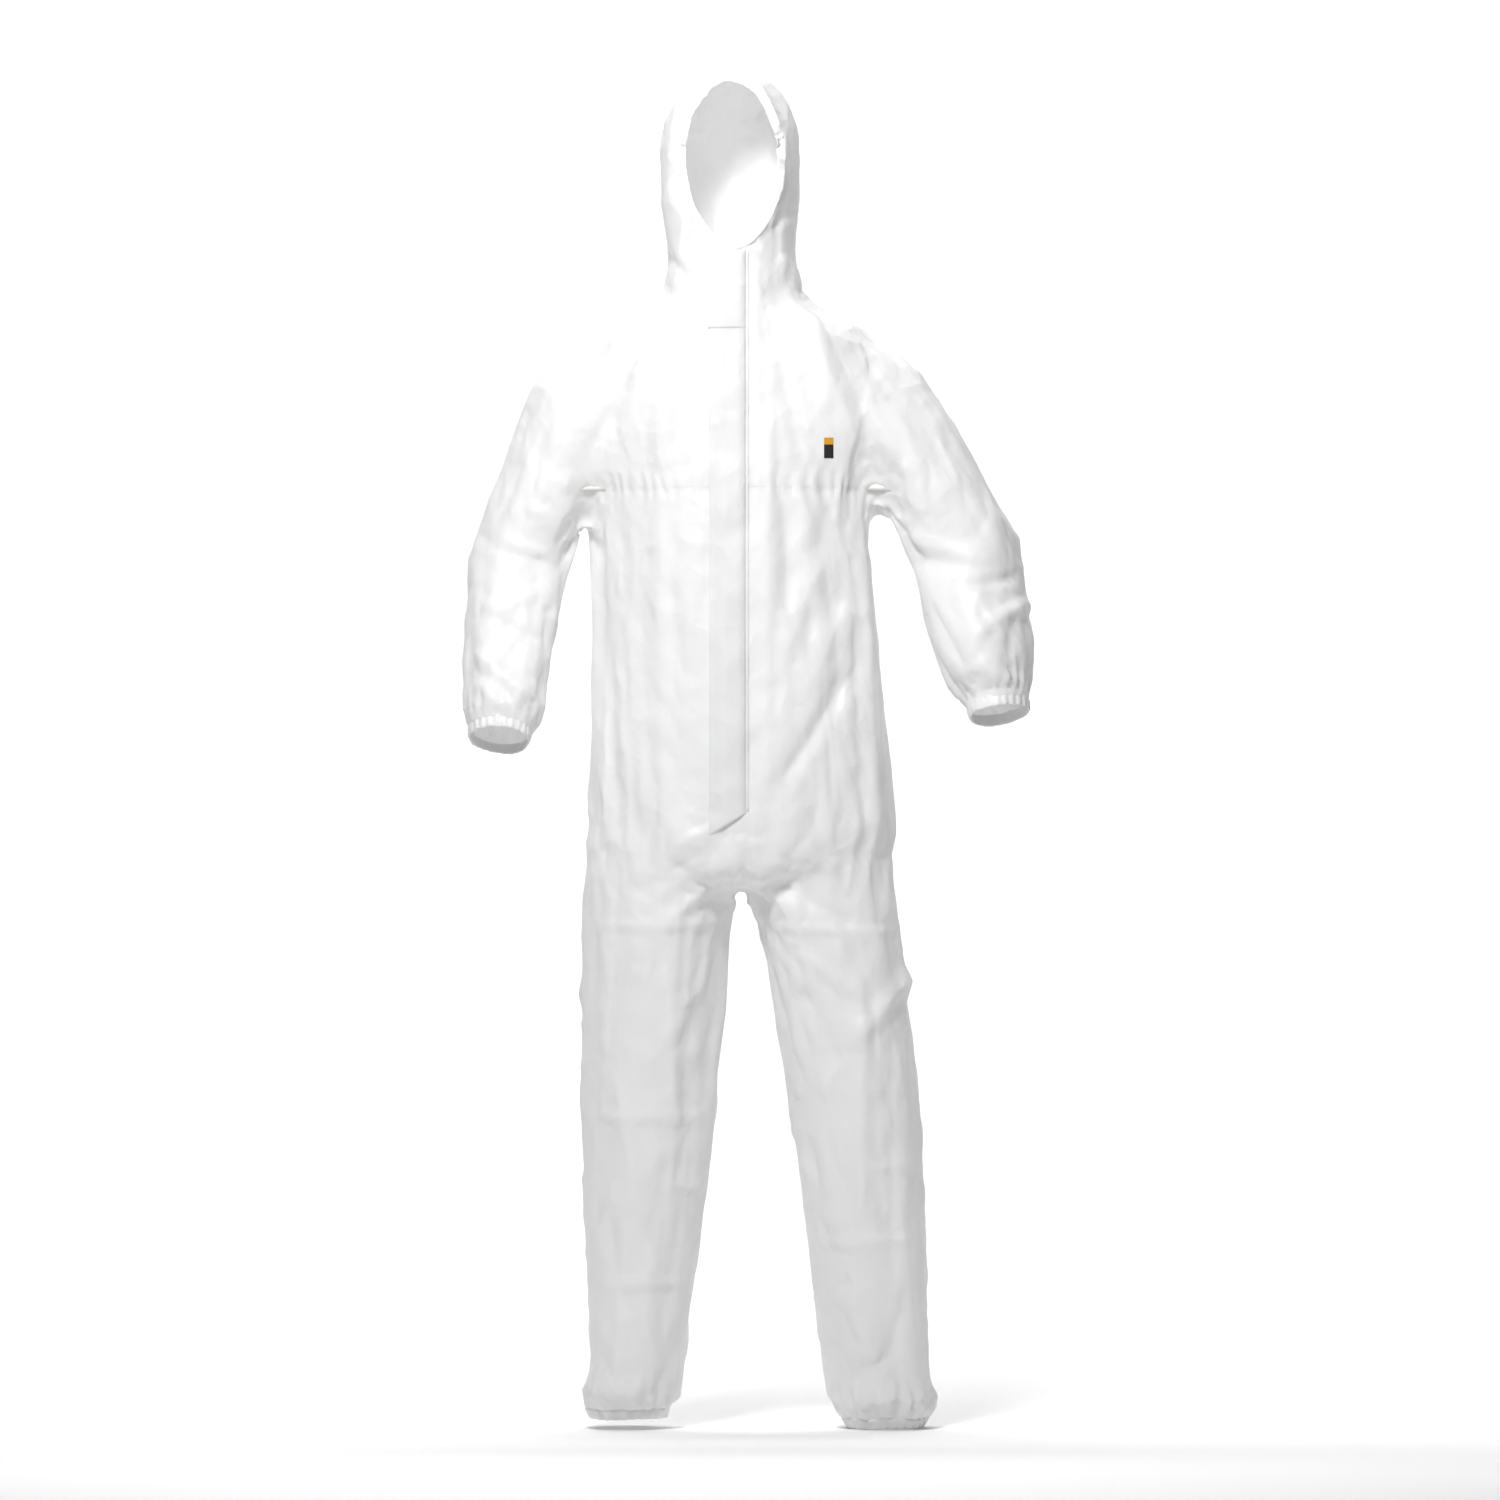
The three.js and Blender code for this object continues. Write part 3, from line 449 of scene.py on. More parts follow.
# %% Cut the seams
SLOT = 0.009
SLOT_TOP, SLOT_BOTTOM = 0.064, -0.676
ARMHOLE = {"right": 0.186, "left": 0.174}
LEG_TOP, LEG_SPLIT = -0.785, -0.938
SLEEVE_SPLIT = 190
HOOD_X, STRIP_HALF = -0.008, 0.046
HOOD_SEAM, HOOD_LEAN = 0.050, 0.15


def above_hood_seam(c):
    return c[2] + HOOD_LEAN * c[1] > HOOD_SEAM


def on_strip(c):
    return c[2] > 0.1 and (c[1] > -0.02 or c[2] > 0.2)


def sleeve_of(c):
    """The side whose sleeve holds the point, or None."""
    for name, side in SIDES.items():
        line = ARMHOLE[name] + max(0, PIT - c[2]) * 0.12
        if c[0] * side["s"] > line and -0.66 < c[2] < 0:
            return name
    return None


def along_arm(c, name):
    upper, lower, shoulder, elbow, end = arm_of(SIDES[name])
    return float(np.dot(np.array(c) / MM - shoulder, upper))


def panel_of(c):
    side = "left" if c[0] > 0 else "right"
    face = "front" if c[1] < 0 else "back"
    if above_hood_seam(c):
        if abs(c[0] - HOOD_X) < STRIP_HALF and on_strip(c):
            return "hood_centre"
        return "hood_left" if c[0] > HOOD_X else "hood_right"
    if c[2] > 0:
        return "neck_left" if c[0] > HOOD_X else "neck_right"
    sleeve = sleeve_of(c)
    if sleeve:
        part = "upper" if along_arm(c, sleeve) < SLEEVE_SPLIT else "lower"
        return f"{sleeve}_sleeve_{part}"
    if c[2] > LEG_TOP:
        return f"{face}_{side}"
    part = "thigh" if c[2] > LEG_SPLIT else "shin"
    return f"{side}_{part}_{face}"


bm = bmesh.new()
bm.from_mesh(garment.data)
place = bm.verts.layers.float_vector.new("hung")
bm.verts.ensure_lookup_table()
for v, p in zip(bm.verts, hung):
    v[place] = p
centre_front = lambda c: abs(c.x) < 0.03 and c.y < 0 and -0.80 < c.z < 0.09
centre_back = lambda c: abs(c.x) < 0.03 and c.y > 0 and -0.80 < c.z < 0.01
trunk_side = lambda c: sleeve_of(c) is None and c.z < -0.2 and abs(c.y) < 0.03
neck = lambda c: abs(c.x) < 0.14 and abs(c.z) < 0.14
for x in (-SLOT, SLOT):
    cut_plane(bm, (x, 0, 0), (1, 0, 0), centre_front)
for z in (SLOT_TOP, SLOT_BOTTOM):
    cut_plane(bm, (0, 0, z), (0, 0, 1), centre_front)
cut_plane(bm, (0, 0, 0), (1, 0, 0),
          lambda c: centre_back(c) or centre_front(c) and c.z < SLOT_BOTTOM)
cut_plane(bm, (0, 0, 0), (0, 1, 0), trunk_side)
cut_plane(bm, (0, 0, 0), (0, 0, 1), neck)
cut_plane(bm, (0, 0, HOOD_SEAM), (0, HOOD_LEAN, 1), neck)
for x in (HOOD_X - STRIP_HALF, HOOD_X + STRIP_HALF):
    cut_plane(bm, (x, 0, 0), (1, 0, 0), lambda c: on_strip(c) and c.z > 0.02)
for name, side in SIDES.items():
    s = side["s"]
    upper, lower, shoulder, elbow, end = arm_of(side)
    cut_plane(bm, (s * ARMHOLE[name], 0, 0), (1, 0, 0),
              lambda c, s=s: c.x * s > 0.14 and -0.26 < c.z < 0)
    cut_plane(bm, (shoulder + upper * SLEEVE_SPLIT) * MM, upper,
              lambda c, name=name: sleeve_of(c) == name)
for z in (LEG_TOP, LEG_SPLIT):
    cut_plane(bm, (0, 0, z), (0, 0, 1), lambda c: c.z < -0.7)
drop(bm, lambda c: abs(c.x) < SLOT and c.y < -0.05 and SLOT_BOTTOM < c.z < SLOT_TOP)

labels, label_layer = [], bm.faces.layers.int.new("panel")
rest_layer = bm.verts.layers.float_vector.new("rest")
for f in bm.faces:
    label = panel_of(f.calc_center_median())
    if label not in labels:
        labels.append(label)
    f[label_layer] = labels.index(label)
for v in bm.verts:
    v[rest_layer] = v.co
    v.co = v[place]
bm.to_mesh(garment.data)
bm.free()
garment.data.attributes.remove(garment.data.attributes["hung"])
smooth = garment.modifiers.new("Smooth", "SUBSURF")
smooth.levels = smooth.render_levels = 1
bake(garment)


def attribute(obj, name, width):
    data = obj.data.attributes[name].data
    out = np.empty(len(data) * width, float if width == 3 else np.int32)
    data.foreach_get("vector" if width == 3 else "value", out)
    return out.reshape(-1, width) if width == 3 else out


rest = attribute(garment, "rest", 3)
panel = attribute(garment, "panel", 1)
print(len(labels), "panels over", len(garment.data.vertices), "points")

# %% [markdown]
# This laminate is stiff and papery: it was folded flat in its packet, and it keeps those creases,
# the ones the wearer's limbs have pressed into it, and hundreds of small crumples. Each crease is a
# ridge or a valley, a tent across its width that fades to its ends.

# %% Crease the cloth
quads = np.empty(len(garment.data.loops), np.int32)
garment.data.loops.foreach_get("vertex_index", quads)
quads = quads.reshape(-1, 4)


def area_of(points, faces):
    """The area of four-cornered faces, in square metres."""
    a, b, c, d = (points[faces[:, k]] for k in range(4))
    return float(np.linalg.norm(np.cross(c - a, d - b), axis=1).sum() / 2)


# from x, z to x, z, half width and height; millimetres
FRONT_CREASES = [
    (148, -395, 22, -659, 24, 6), (171, -468, 49, -645, 14, -4), (120, -330, 60, -470, 18, 3),
    (3, -725, -116, -843, 15, 5), (3, -725, -24, -840, 10, 3), (-8, -700, -150, -790, 16, -3),
    (9, -725, 82, -823, 13, 5), (16, -740, 174, -836, 14, -4), (40, -700, 150, -760, 14, 3),
    (82, -4, 161, -198, 15, 5), (42, -4, 82, -185, 12, -3.5), (100, -4, 120, -150, 12, 3),
    (-63, -4, -109, -224, 14, 4), (-116, -26, -182, -198, 14, -4), (-80, -8, -150, -120, 12, 3),
    (-103, -255, -103, -820, 12, 2.2), (-60, -300, -75, -640, 14, 2), (70, -270, 64, -420, 12, -2),
    (-92, -830, -87, -1139, 12, 3), (168, -856, 171, -1238, 12, 3.5),
    (-195, -826, -14, -822, 9, 2.2), (40, -826, 220, -832, 9, 2.2),
    (-204, -1075, -42, -1078, 10, 2.6), (171, -1142, 250, -1142, 10, 2.6),
    (-100, -1168, -55, -1172, 9, 2), (110, -1242, 252, -1238, 10, 2.4),
    (-200, -1300, -65, -1296, 10, 2.4), (246, -876, 147, -988, 15, 5), (82, -856, 167, -922, 11, 4),
    (90, -905, 140, -1010, 12, -3.5), (-169, -1001, -129, -1225, 15, 3.5),
    (-182, -1185, -149, -1343, 14, -3), (-60, -905, -110, -1000, 13, 3), (-45, -1020, -70, -1200, 12, 3),
    (140, -1300, 190, -1400, 14, 4), (230, -1290, 200, -1400, 12, -3),
    (-130, -1330, -100, -1420, 13, 4), (-185, -1350, -150, -1420, 12, 3),
    (-313, -316, -254, -336, 9, 4), (-340, -408, -261, -382, 11, 4), (-353, -461, -267, -527, 13, 4.5),
    (-262, -450, -320, -420, 9, -3), (-345, -500, -300, -545, 10, 3.5),
    (220, -310, 345, -343, 11, 4), (259, -343, 292, -461, 12, 4.5), (292, -448, 398, -395, 12, 4.5),
    (312, -474, 385, -514, 12, 4), (300, -380, 380, -360, 9, -3), (330, -420, 300, -500, 10, 3),
    (9, 66, 84, 122, 8, -3.5), (16, 74, -18, 33, 8, 2.5), (-90, 118, -70, 168, 10, 5),
    (-92, 60, -62, 20, 10, -3), (60, 60, 78, 10, 9, 3),
]
# the back carries the first of them too, mirrored
BACK_CREASES = 38
SPREAD, RISE = 1.35, 1.7
CREASE_SEED = 11
CRUMPLES = 260
# width, how much longer down the cloth, and rise; metres
FACETS = [(0.085, 2.2, 0.0085), (0.036, 1.4, 0.0027)]
HEIGHT_LIMIT = 0.011


def tent(points, start, stop, width, height):
    """The height of one crease at each point."""
    line = stop - start
    t = np.clip((points - start) @ line / (line @ line), 0, 1)
    away = np.linalg.norm(points - start - t[:, None] * line, axis=1)
    ends = np.clip(4 * t * (1 - t) * 1.6, 0, 1)
    return height * np.clip(1 - away / width, 0, 1) ** 1.2 * ends


def around_trunk(points):
    """How many times round the waist a point is, 0 to 1."""
    return np.arctan2(points[:, 1] / 0.12, (points[:, 0] + 0.008) / 0.18) / (2 * np.pi)


height = np.zeros(len(rest))
flat = rest[:, [0, 2]]
front = rest[:, 1] < 0.01
for x0, z0, x1, z1, width, rise in FRONT_CREASES:
    near = front & (np.abs(flat[:, 1] - (z0 + z1) / 2 * MM) < (abs(z1 - z0) / 2 + 30) * MM)
    height[near] += tent(flat[near], np.array([x0, z0]) * MM, np.array([x1, z1]) * MM,
                         width * SPREAD * MM, rise * RISE * MM)
back = rest[:, 1] > 0
for x0, z0, x1, z1, width, rise in FRONT_CREASES[:BACK_CREASES]:
    height[back] += tent(flat[back], np.array([-x0 * 0.9, z0 - 20]) * MM,
                         np.array([-x1 * 0.9, z1 - 20]) * MM, width * SPREAD * MM, rise * MM)
rng = np.random.default_rng(CREASE_SEED)
for _ in range(CRUMPLES):
    middle = rest[rng.integers(len(rest))]
    direction = rng.normal(size=3) * (1, 1, 1.6)
    reach = direction / np.linalg.norm(direction) * rng.uniform(0.02, 0.075)
    width, rise = rng.uniform(0.009, 0.020), rng.choice([-1, 1]) * rng.uniform(0.0008, 0.0028)
    near = np.abs(rest - middle).max(axis=1) < 0.095
    height[near] += tent(rest[near], middle - reach, middle + reach, width, rise)


def facets(points, faces, size, stretch, rise):
    """Heights over flat facets that meet in sharp folds: a coarse net of the cloth with its knots
    moved up or down at random. size is a facet's width; stretch makes it longer down the cloth."""
    scale = np.array([1, 1, 1 / stretch])
    net = make_object("net", points * scale, faces)
    thin = net.modifiers.new("Thin", "DECIMATE")
    thin.use_collapse_triangulate = True
    area = area_of(points * scale, faces)
    thin.ratio = area / (0.43 * size ** 2) / (2 * len(faces))
    bake(net)
    knots = points_of(net)
    triangles = [tuple(p.vertices) for p in net.data.polygons]
    knot_height = rng.uniform(-rise, rise, len(knots))
    tree = BVHTree.FromPolygons([Vector(k) for k in knots], triangles)
    bpy.data.objects.remove(net)
    out = np.zeros(len(points))
    for i, point in enumerate(points * scale):
        spot, _, index, _ = tree.find_nearest(Vector(point))
        a, b, c = (knots[k] for k in triangles[index])
        whole = np.linalg.norm(np.cross(b - a, c - a)) + 1e-12
        shares = (np.linalg.norm(np.cross(b - spot, c - spot)) / whole,
                  np.linalg.norm(np.cross(c - spot, a - spot)) / whole)
        shares = (*shares, max(0.0, 1 - sum(shares)))
        out[i] = sum(w * knot_height[k] for w, k in zip(shares, triangles[index]))
    return out


for size, stretch, rise in FACETS:
    height += facets(rest, quads, size, stretch, rise)

to_waist = rest[:, 2] - WAIST_Z
trunk = (np.abs(to_waist) < 0.08) & (np.abs(rest[:, 0]) < 0.19)
tucks = np.sin(2 * np.pi * around_trunk(rest) * 58 + 4 * cloud(rest, 0.05))
height[trunk] += (-0.0010 * np.exp(-(to_waist / 0.010) ** 2)
                  + 0.0018 * tucks * np.exp(-(to_waist / 0.017) ** 2))[trunk]
placket = (rest[:, 1] < 0) & (rest[:, 2] > -0.71) & (rest[:, 2] < 0.07)
height *= np.where(placket, np.clip((np.abs(rest[:, 0]) - 0.016) / 0.02, 0, 1), 1)


def boundary_loops(obj):
    """Every open edge of the mesh as a ring of point numbers."""
    bm = bmesh.new()
    bm.from_mesh(obj.data)
    bm.verts.ensure_lookup_table()
    left = {v.index for v in bm.verts if v.is_boundary}
    rings = []
    while left:
        first = min(left)
        ring, here, before = [], first, None
        while here is not None:
            ring.append(here)
            left.discard(here)
            links = [e.other_vert(bm.verts[here]).index for e in bm.verts[here].link_edges
                     if e.is_boundary]
            onward = [i for i in links if i != before and (i in left)]
            before, here = here, onward[0] if onward else None
        rings.append(ring)
    bm.free()
    return rings


def ring_name(points):
    x, y, z = points.mean(axis=0)
    side = "left" if x > 0 else "right"
    if z > 0.1:
        return "face"
    if z < -1.3:
        return f"{side}_ankle"
    return f"{side}_cuff" if abs(x) > 0.2 else "slot"


rings = {}
for ring in boundary_loops(garment):
    if len(ring) > 20:
        rings[ring_name(rest[ring])] = ring
# opening: gathers round it, their size and how far they fade into the cloth; metres
GATHERS = {"face": (42, 0.0009, 0.014),
           **{f"{side}_cuff": (17, 0.0024, 0.03) for side in ("left", "right")},
           **{f"{side}_ankle": (19, 0.0032, 0.034) for side in ("left", "right")}}
hem_fade = np.ones(len(rest))
for name, (count, size, fade) in GATHERS.items():
    ring = rings[name]
    tree = KDTree(len(ring))
    for k, i in enumerate(ring):
        tree.insert(rest[i], k)
    tree.balance()
    middle = rest[ring].mean(axis=0)
    for i in np.nonzero(np.linalg.norm(rest - middle, axis=1) < 0.22)[0]:
        co, k, away = tree.find(rest[i])
        hem_fade[i] = min(hem_fade[i], np.clip((away - 0.007) / 0.02, 0, 1))
        if away < 3 * fade:
            wander = 0.35 * noise.noise(Vector(rest[i]) * 30)
            wave = math.sin(2 * math.pi * (count * k / len(ring) + wander))
            height[i] += size * wave * math.exp(-((away - 0.02) / fade) ** 2)
to_fork = np.linalg.norm(rest - np.array([0.003, -0.03, CROTCH]), axis=1)
height *= np.clip(to_fork / 0.10, 0.25, 1) * hem_fade
height = HEIGHT_LIMIT * np.tanh(height / HEIGHT_LIMIT)
creased = points_of(garment) + points_of(garment, "normal") * height[:, None]
set_points(garment, creased)
print("creased; rings", {k: len(v) for k, v in rings.items()})

# %% [markdown]
# Colours are named as they look on a screen and turned linear here, once. The laminate is a matt
# film over spunbond: nearly white, with a soft sheen, small papery crumples and a fine texture.

# %% Materials


def linear(hex_colour):
    values = [int(hex_colour[i:i + 2], 16) / 255 for i in (1, 3, 5)]
    return (*[v / 12.92 if v <= 0.04045 else ((v + 0.055) / 1.055) ** 2.4 for v in values], 1.0)


def add(tree, kind, location=(0, 0), inputs=None, **settings):
    """One node with its settings, its fixed inputs and its links."""
    node = tree.nodes.new(kind)
    node.location = location
    for key, value in settings.items():
        setattr(node, key, value)
    for key, value in (inputs or {}).items():
        if isinstance(value, bpy.types.NodeSocket):
            tree.links.new(value, node.inputs[key])
        else:
            node.inputs[key].default_value = value
    return node


def material(name, colour, roughness, bumps=(), sheen=0.0, through=0.0):
    """bumps: (pattern, size in metres, height in metres); through: the light let through."""
    made = bpy.data.materials.new(name)
    made.use_nodes = True
    tree = made.node_tree
    tree.nodes.clear()
    shader = add(tree, "ShaderNodeBsdfPrincipled", (300, 0), {
        "Base Color": linear(colour), "Roughness": roughness, "Sheen Weight": sheen})
    total = None
    if bumps:
        where = add(tree, "ShaderNodeAttribute", (-1100, 0), attribute_name="rest").outputs["Vector"]
        bend = add(tree, "ShaderNodeTexNoise", (-900, -200), {"Vector": where, "Scale": 30.0})
        shift = add(tree, "ShaderNodeVectorMath", (-700, -200), {
            0: bend.outputs["Color"], 1: (0.012, 0.012, 0.012)}, operation="MULTIPLY")
        bent = add(tree, "ShaderNodeVectorMath", (-550, 0), {
            0: where, 1: shift.outputs[0]}, operation="ADD").outputs[0]
        for k, (pattern, size, rise) in enumerate(bumps):
            if pattern == "crumple":
                texture = add(tree, "ShaderNodeTexVoronoi", (-350, -k * 250), {
                    "Vector": bent, "Scale": 1 / size}, feature="F1").outputs["Distance"]
            else:
                texture = add(tree, "ShaderNodeTexNoise", (-350, -k * 250), {
                    "Vector": where, "Scale": 1 / size, "Detail": 2.0}).outputs["Fac"]
            inputs = {0: texture, 1: rise}
            if total is not None:
                inputs[2] = total
            total = add(tree, "ShaderNodeMath", (-150, -k * 250), inputs,
                        operation="MULTIPLY" if total is None else "MULTIPLY_ADD").outputs[0]
        bump = add(tree, "ShaderNodeBump", (100, -200), {
            "Height": total, "Distance": 1.0, "Strength": 1.0})
        tree.links.new(bump.outputs["Normal"], shader.inputs["Normal"])
    surface = shader.outputs["BSDF"]
    if through:
        glow = add(tree, "ShaderNodeBsdfTranslucent", (300, -400), {"Color": linear(colour)})
        surface = add(tree, "ShaderNodeMixShader", (480, 0), {
            0: through, 1: surface, 2: glow.outputs[0]}).outputs[0]
    add(tree, "ShaderNodeOutputMaterial", (650, 0), {"Surface": surface})
    return made


PAPERY = [("crumple", 0.040, 0.0026), ("crumple", 0.016, 0.0007), ("grain", 0.0016, 0.00006)]
LAMINATE = material("microporous laminate", "#F4F4F4", 0.48, PAPERY, sheen=0.05, through=0.27)
HEM = material("folded laminate hem", "#F4F4F4", 0.5, [("crumple", 0.012, 0.0005), PAPERY[2]],
               through=0.15)
ELASTIC = material("flat woven elastic", "#E9E8E4", 0.8, [("grain", 0.0012, 0.0001)])
THREAD = material("polyester thread", "#ECECEA", 0.6)
TAPE = material("woven zip tape", "#EDECE9", 0.85, [("grain", 0.0012, 0.0001)])
COIL = material("nylon zip coil", "#F0EFEC", 0.4)
PAINT = material("white painted zinc", "#EDEDEB", 0.35)
LINER = material("release paper", "#DDE4E8", 0.3)
SATIN = material("satin label tape", "#F6F5F2", 0.45)
INK = material("printed ink, black", "#1A1B1D", 0.55)
AMBER = material("printed ink, amber", "#D99A1E", 0.55)
print("materials made")

# %% [markdown]
# Each panel becomes its own piece. It keeps the shading of the whole suit along its edges, so a
# seam shows as the change of the cloth and not as a step in the light.

# %% Part the panels
whole = points_of(garment)
outward = points_of(garment, "normal")
skin = BVHTree.FromPolygons([Vector(p) for p in whole], quads.tolist())


def piece(name, verts, faces, finish, rest_points=None):
    """A smooth piece with its own cloth coordinates, in which the bumps are laid out."""
    obj = make_object(name, verts, faces)
    obj.data.materials.append(finish)
    obj.data.shade_smooth()
    values = np.asarray(verts if rest_points is None else rest_points, float)
    own = obj.data.attributes.new("rest", "FLOAT_VECTOR", "POINT")
    own.data.foreach_set("vector", values.ravel())
    return obj


panels, flat_area, flat_length = {}, {}, {}
for k, label in enumerate(labels):
    own = quads[panel == k]
    used, where = np.unique(own, return_inverse=True)
    obj = piece(f"{label}_cloth", whole[used], where.reshape(-1, 4), LAMINATE, rest[used])
    obj.data.normals_split_custom_set_from_vertices([tuple(n) for n in outward[used]])
    panels[label] = obj
    flat_area[label] = area_of(rest, own) * SLACK_ACROSS * SLACK_DOWN
    span = rest[used]
    flat_length[label] = float(np.linalg.norm(span.max(axis=0) - span.min(axis=0))) * 0.96
print("parted", len(panels), "panels")

# %% [markdown]
# The face opening, the cuffs and the ankles end in a casing: the edge is turned over a flat elastic
# and sewn, and the elastic gathers it. Each one is a flattened tube that follows its opening, with
# the gathers as a wave along it, and the elastic runs inside.

# %% Elasticated casings


def evenly(loop, count, extra):
    """The closed loop and the values along it at count even steps."""
    step = np.linalg.norm(np.roll(loop, -1, axis=0) - loop, axis=1)
    at = np.concatenate([[0], np.cumsum(step)])
    want = np.linspace(0, at[-1], count, endpoint=False)
    close = lambda a: np.concatenate([a, a[:1]])
    sampled = [np.stack([np.interp(want, at, close(a)[:, i]) for i in range(3)], 1)
               for a in (loop, *extra)]
    return sampled, at[-1]


def softened(values, passes):
    for _ in range(passes):
        values = (np.roll(values, 1, axis=0) + 2 * values + np.roll(values, -1, axis=0)) / 4
    return values


def unit(v):
    return v / np.maximum(np.linalg.norm(v, axis=1, keepdims=True), 1e-9)


def opening_frame(ring, count):
    """Even points round an opening, each with its way along, into the cloth and out of it."""
    ring = np.array(ring)
    to_face = np.zeros_like(whole)
    centres = whole[quads].mean(axis=1)
    for k in range(4):
        np.add.at(to_face, quads[:, k], centres - whole[quads[:, k]])
    (points, into, out), length = evenly(whole[ring], count, (to_face[ring], outward[ring]))
    points = softened(points, 3)
    along = unit(np.roll(points, -1, axis=0) - np.roll(points, 1, axis=0))
    into = softened(unit(into), 12)
    into = unit(into - (into * along).sum(axis=1, keepdims=True) * along)
    out_way = np.cross(along, into)
    out_way *= np.sign((out_way * out).sum(axis=1, keepdims=True))
    return points, along, into, softened(out_way, 4), length


def band(name, ring, low, high, thick, gathers, size, finish, fine=9, lap=12):
    """A flattened tube along an opening, from low to high metres into the cloth."""
    count = gathers * fine
    points, along, into, out, length = opening_frame(ring, count)
    turn = np.linspace(0, 2 * np.pi, count, endpoint=False)
    wander = cloud(points, 0.06, 5.0)
    wave = np.sin(turn * gathers + 2.0 * wander) * (0.8 + 0.5 * cloud(points, 0.04, 9.0))
    round_it = np.linspace(0, 2 * np.pi, lap, endpoint=False)
    across = (low + high) / 2 + (high - low) / 2 * signed_power(np.cos(round_it), 0.7)
    through = thick / 2 * signed_power(np.sin(round_it), 0.8)
    edge = np.clip((high - across) / (high - low), 0, 1)
    verts = []
    for k in range(count):
        puff = through * (1 + 0.2 * wave[k]) + size * wave[k] * (0.35 + 0.65 * edge)
        reach = across - 0.15 * size * wave[k] * edge
        verts.append(points[k] + into[k] * reach[:, None] + out[k] * puff[:, None])
    faces = []
    for k in range(count):
        j = (k + 1) % count
        for i in range(lap):
            n = (i + 1) % lap
            faces.append((k * lap + i, j * lap + i, j * lap + n, k * lap + n))
    obj = piece(name, np.concatenate(verts), faces, finish)
    consistent(obj)
    obj.data.shade_smooth()
    line = points + into * (high - 0.0022) + out * (thick / 2 + size * 0.35 * wave + 0.0002)[:, None]
    return obj, line


# opening: low and high edge, thickness, gathers and their size; metres
CASINGS = {
    "face": (-0.004, 0.0085, 0.0024, 60, 0.0004),
    **{f"{side}_cuff": (-0.006, 0.010, 0.0030, 26, 0.0006) for side in ("left", "right")},
    **{f"{side}_ankle": (-0.006, 0.010, 0.0032, 30, 0.0007) for side in ("left", "right")},
}
casings, elastics, seam_lines = {}, {}, {}
for name, (low_edge, high_edge, thick, count, size) in CASINGS.items():
    casings[name], seam_lines[name] = band(f"{name}_casing_hem", rings[name], low_edge,
                                           high_edge, thick, count, size, HEM)
    elastics[name], _ = band(f"{name}_elastic_band", rings[name], low_edge + 0.003,
                             high_edge - 0.0035, 0.0009, count, size, ELASTIC, lap=6)
print("casings on", list(casings))

# %% [markdown]
# The waist elastic is sewn flat to the inside of the cloth from one side of the zip to the other.

# %% Waist elastic
FRONT_GAP = math.radians(9)
angles = np.linspace(-math.pi / 2 + FRONT_GAP, 1.5 * math.pi - FRONT_GAP, 220)
hub = Vector((-0.006, 0, WAIST_Z))
reach = []
for angle in angles:
    hit = skin.ray_cast(hub, Vector((math.cos(angle), math.sin(angle), 0)))
    reach.append(hit[3] if hit[0] else 0.15)
reach = np.array(reach)
for _ in range(6):
    reach[1:-1] = np.minimum(reach[1:-1], (reach[:-2] + 2 * reach[1:-1] + reach[2:]) / 4)
verts, faces = [], []
for angle, r in zip(angles, reach):
    way = np.array([math.cos(angle), math.sin(angle), 0])
    for z, inset in ((-0.0045, 0.0012), (0.0045, 0.0012), (0.0045, 0.0024), (-0.0045, 0.0024)):
        verts.append(np.array(hub) + way * (r - inset) + (0, 0, z))
for k in range(len(angles) - 1):
    for i in range(4):
        j = (i + 1) % 4
        faces.append((k * 4 + i, k * 4 + j, k * 4 + 4 + j, k * 4 + 4 + i))
last = (len(angles) - 1) * 4
faces += [(0, 3, 2, 1), (last, last + 1, last + 2, last + 3)]
waist_elastic = piece("waist_elastic_tape", verts, faces, ELASTIC)
consistent(waist_elastic)
seam_lines["waist"] = np.array([np.array(hub) + np.array([math.cos(a), math.sin(a), 0]) * (r + 0.0006)
                                for a, r in zip(angles, reach)])

# %% [markdown]
# The storm flap is a strip of doubled laminate, sewn along the wearer's left of the zip and stuck
# down on their right. It lies on the cloth, rides over the slider, and ends in a point. A short
# chin cover of the same cloth carries on up to the face opening.

# %% Storm flap
SEWN_X, HINGE_X, FREE_X = 0.0145, 0.0104, -0.0380
FLAP_SPLIT, FLAP_TOP = -0.0335, 0.0650
FLAP_LOW_SEWN, FLAP_LOW_FREE = -0.676, -0.705
POINT_TOP = -0.64
flap_zs = np.linspace(-0.72, 0.08, 161)
flap_xs = np.linspace(-0.046, 0.020, 12)


def front_y(x, z, missing=None):
    """The cloth's outer face seen from the front."""
    hit = skin.ray_cast(Vector((x, -0.5, z)), Vector((0, 1, 0)))
    return hit[0].y if hit[0] is not None and hit[0].y < -0.03 else missing


ground = np.array([[front_y(x, z, np.nan) for x in flap_xs] for z in flap_zs])
ground[:, np.abs(flap_xs) < SLOT + 0.002] = np.nan
for row, z in zip(ground, flap_zs):
    known = ~np.isnan(row)
    if known.sum() >= 2:
        row[~known] = np.interp(flap_xs[~known], flap_xs[known], row[known])
    else:
        row[:] = -front_at(z / MM) * MM
for _ in range(8):
    level = ground.copy()
    level[1:-1] = (ground[:-2] + 2 * ground[1:-1] + ground[2:]) / 4
    ground = np.minimum(ground, level)
for _ in range(3):
    ground[1:-1] = (ground[:-2] + 2 * ground[1:-1] + ground[2:]) / 4


def on_front(x, z, lift):
    """A point lift metres in front of the smoothed front of the suit."""
    row = np.array([np.interp(z, flap_zs, ground[:, i]) for i in range(len(flap_xs))])
    return (x, float(np.interp(x, flap_xs, row)) - lift, z)


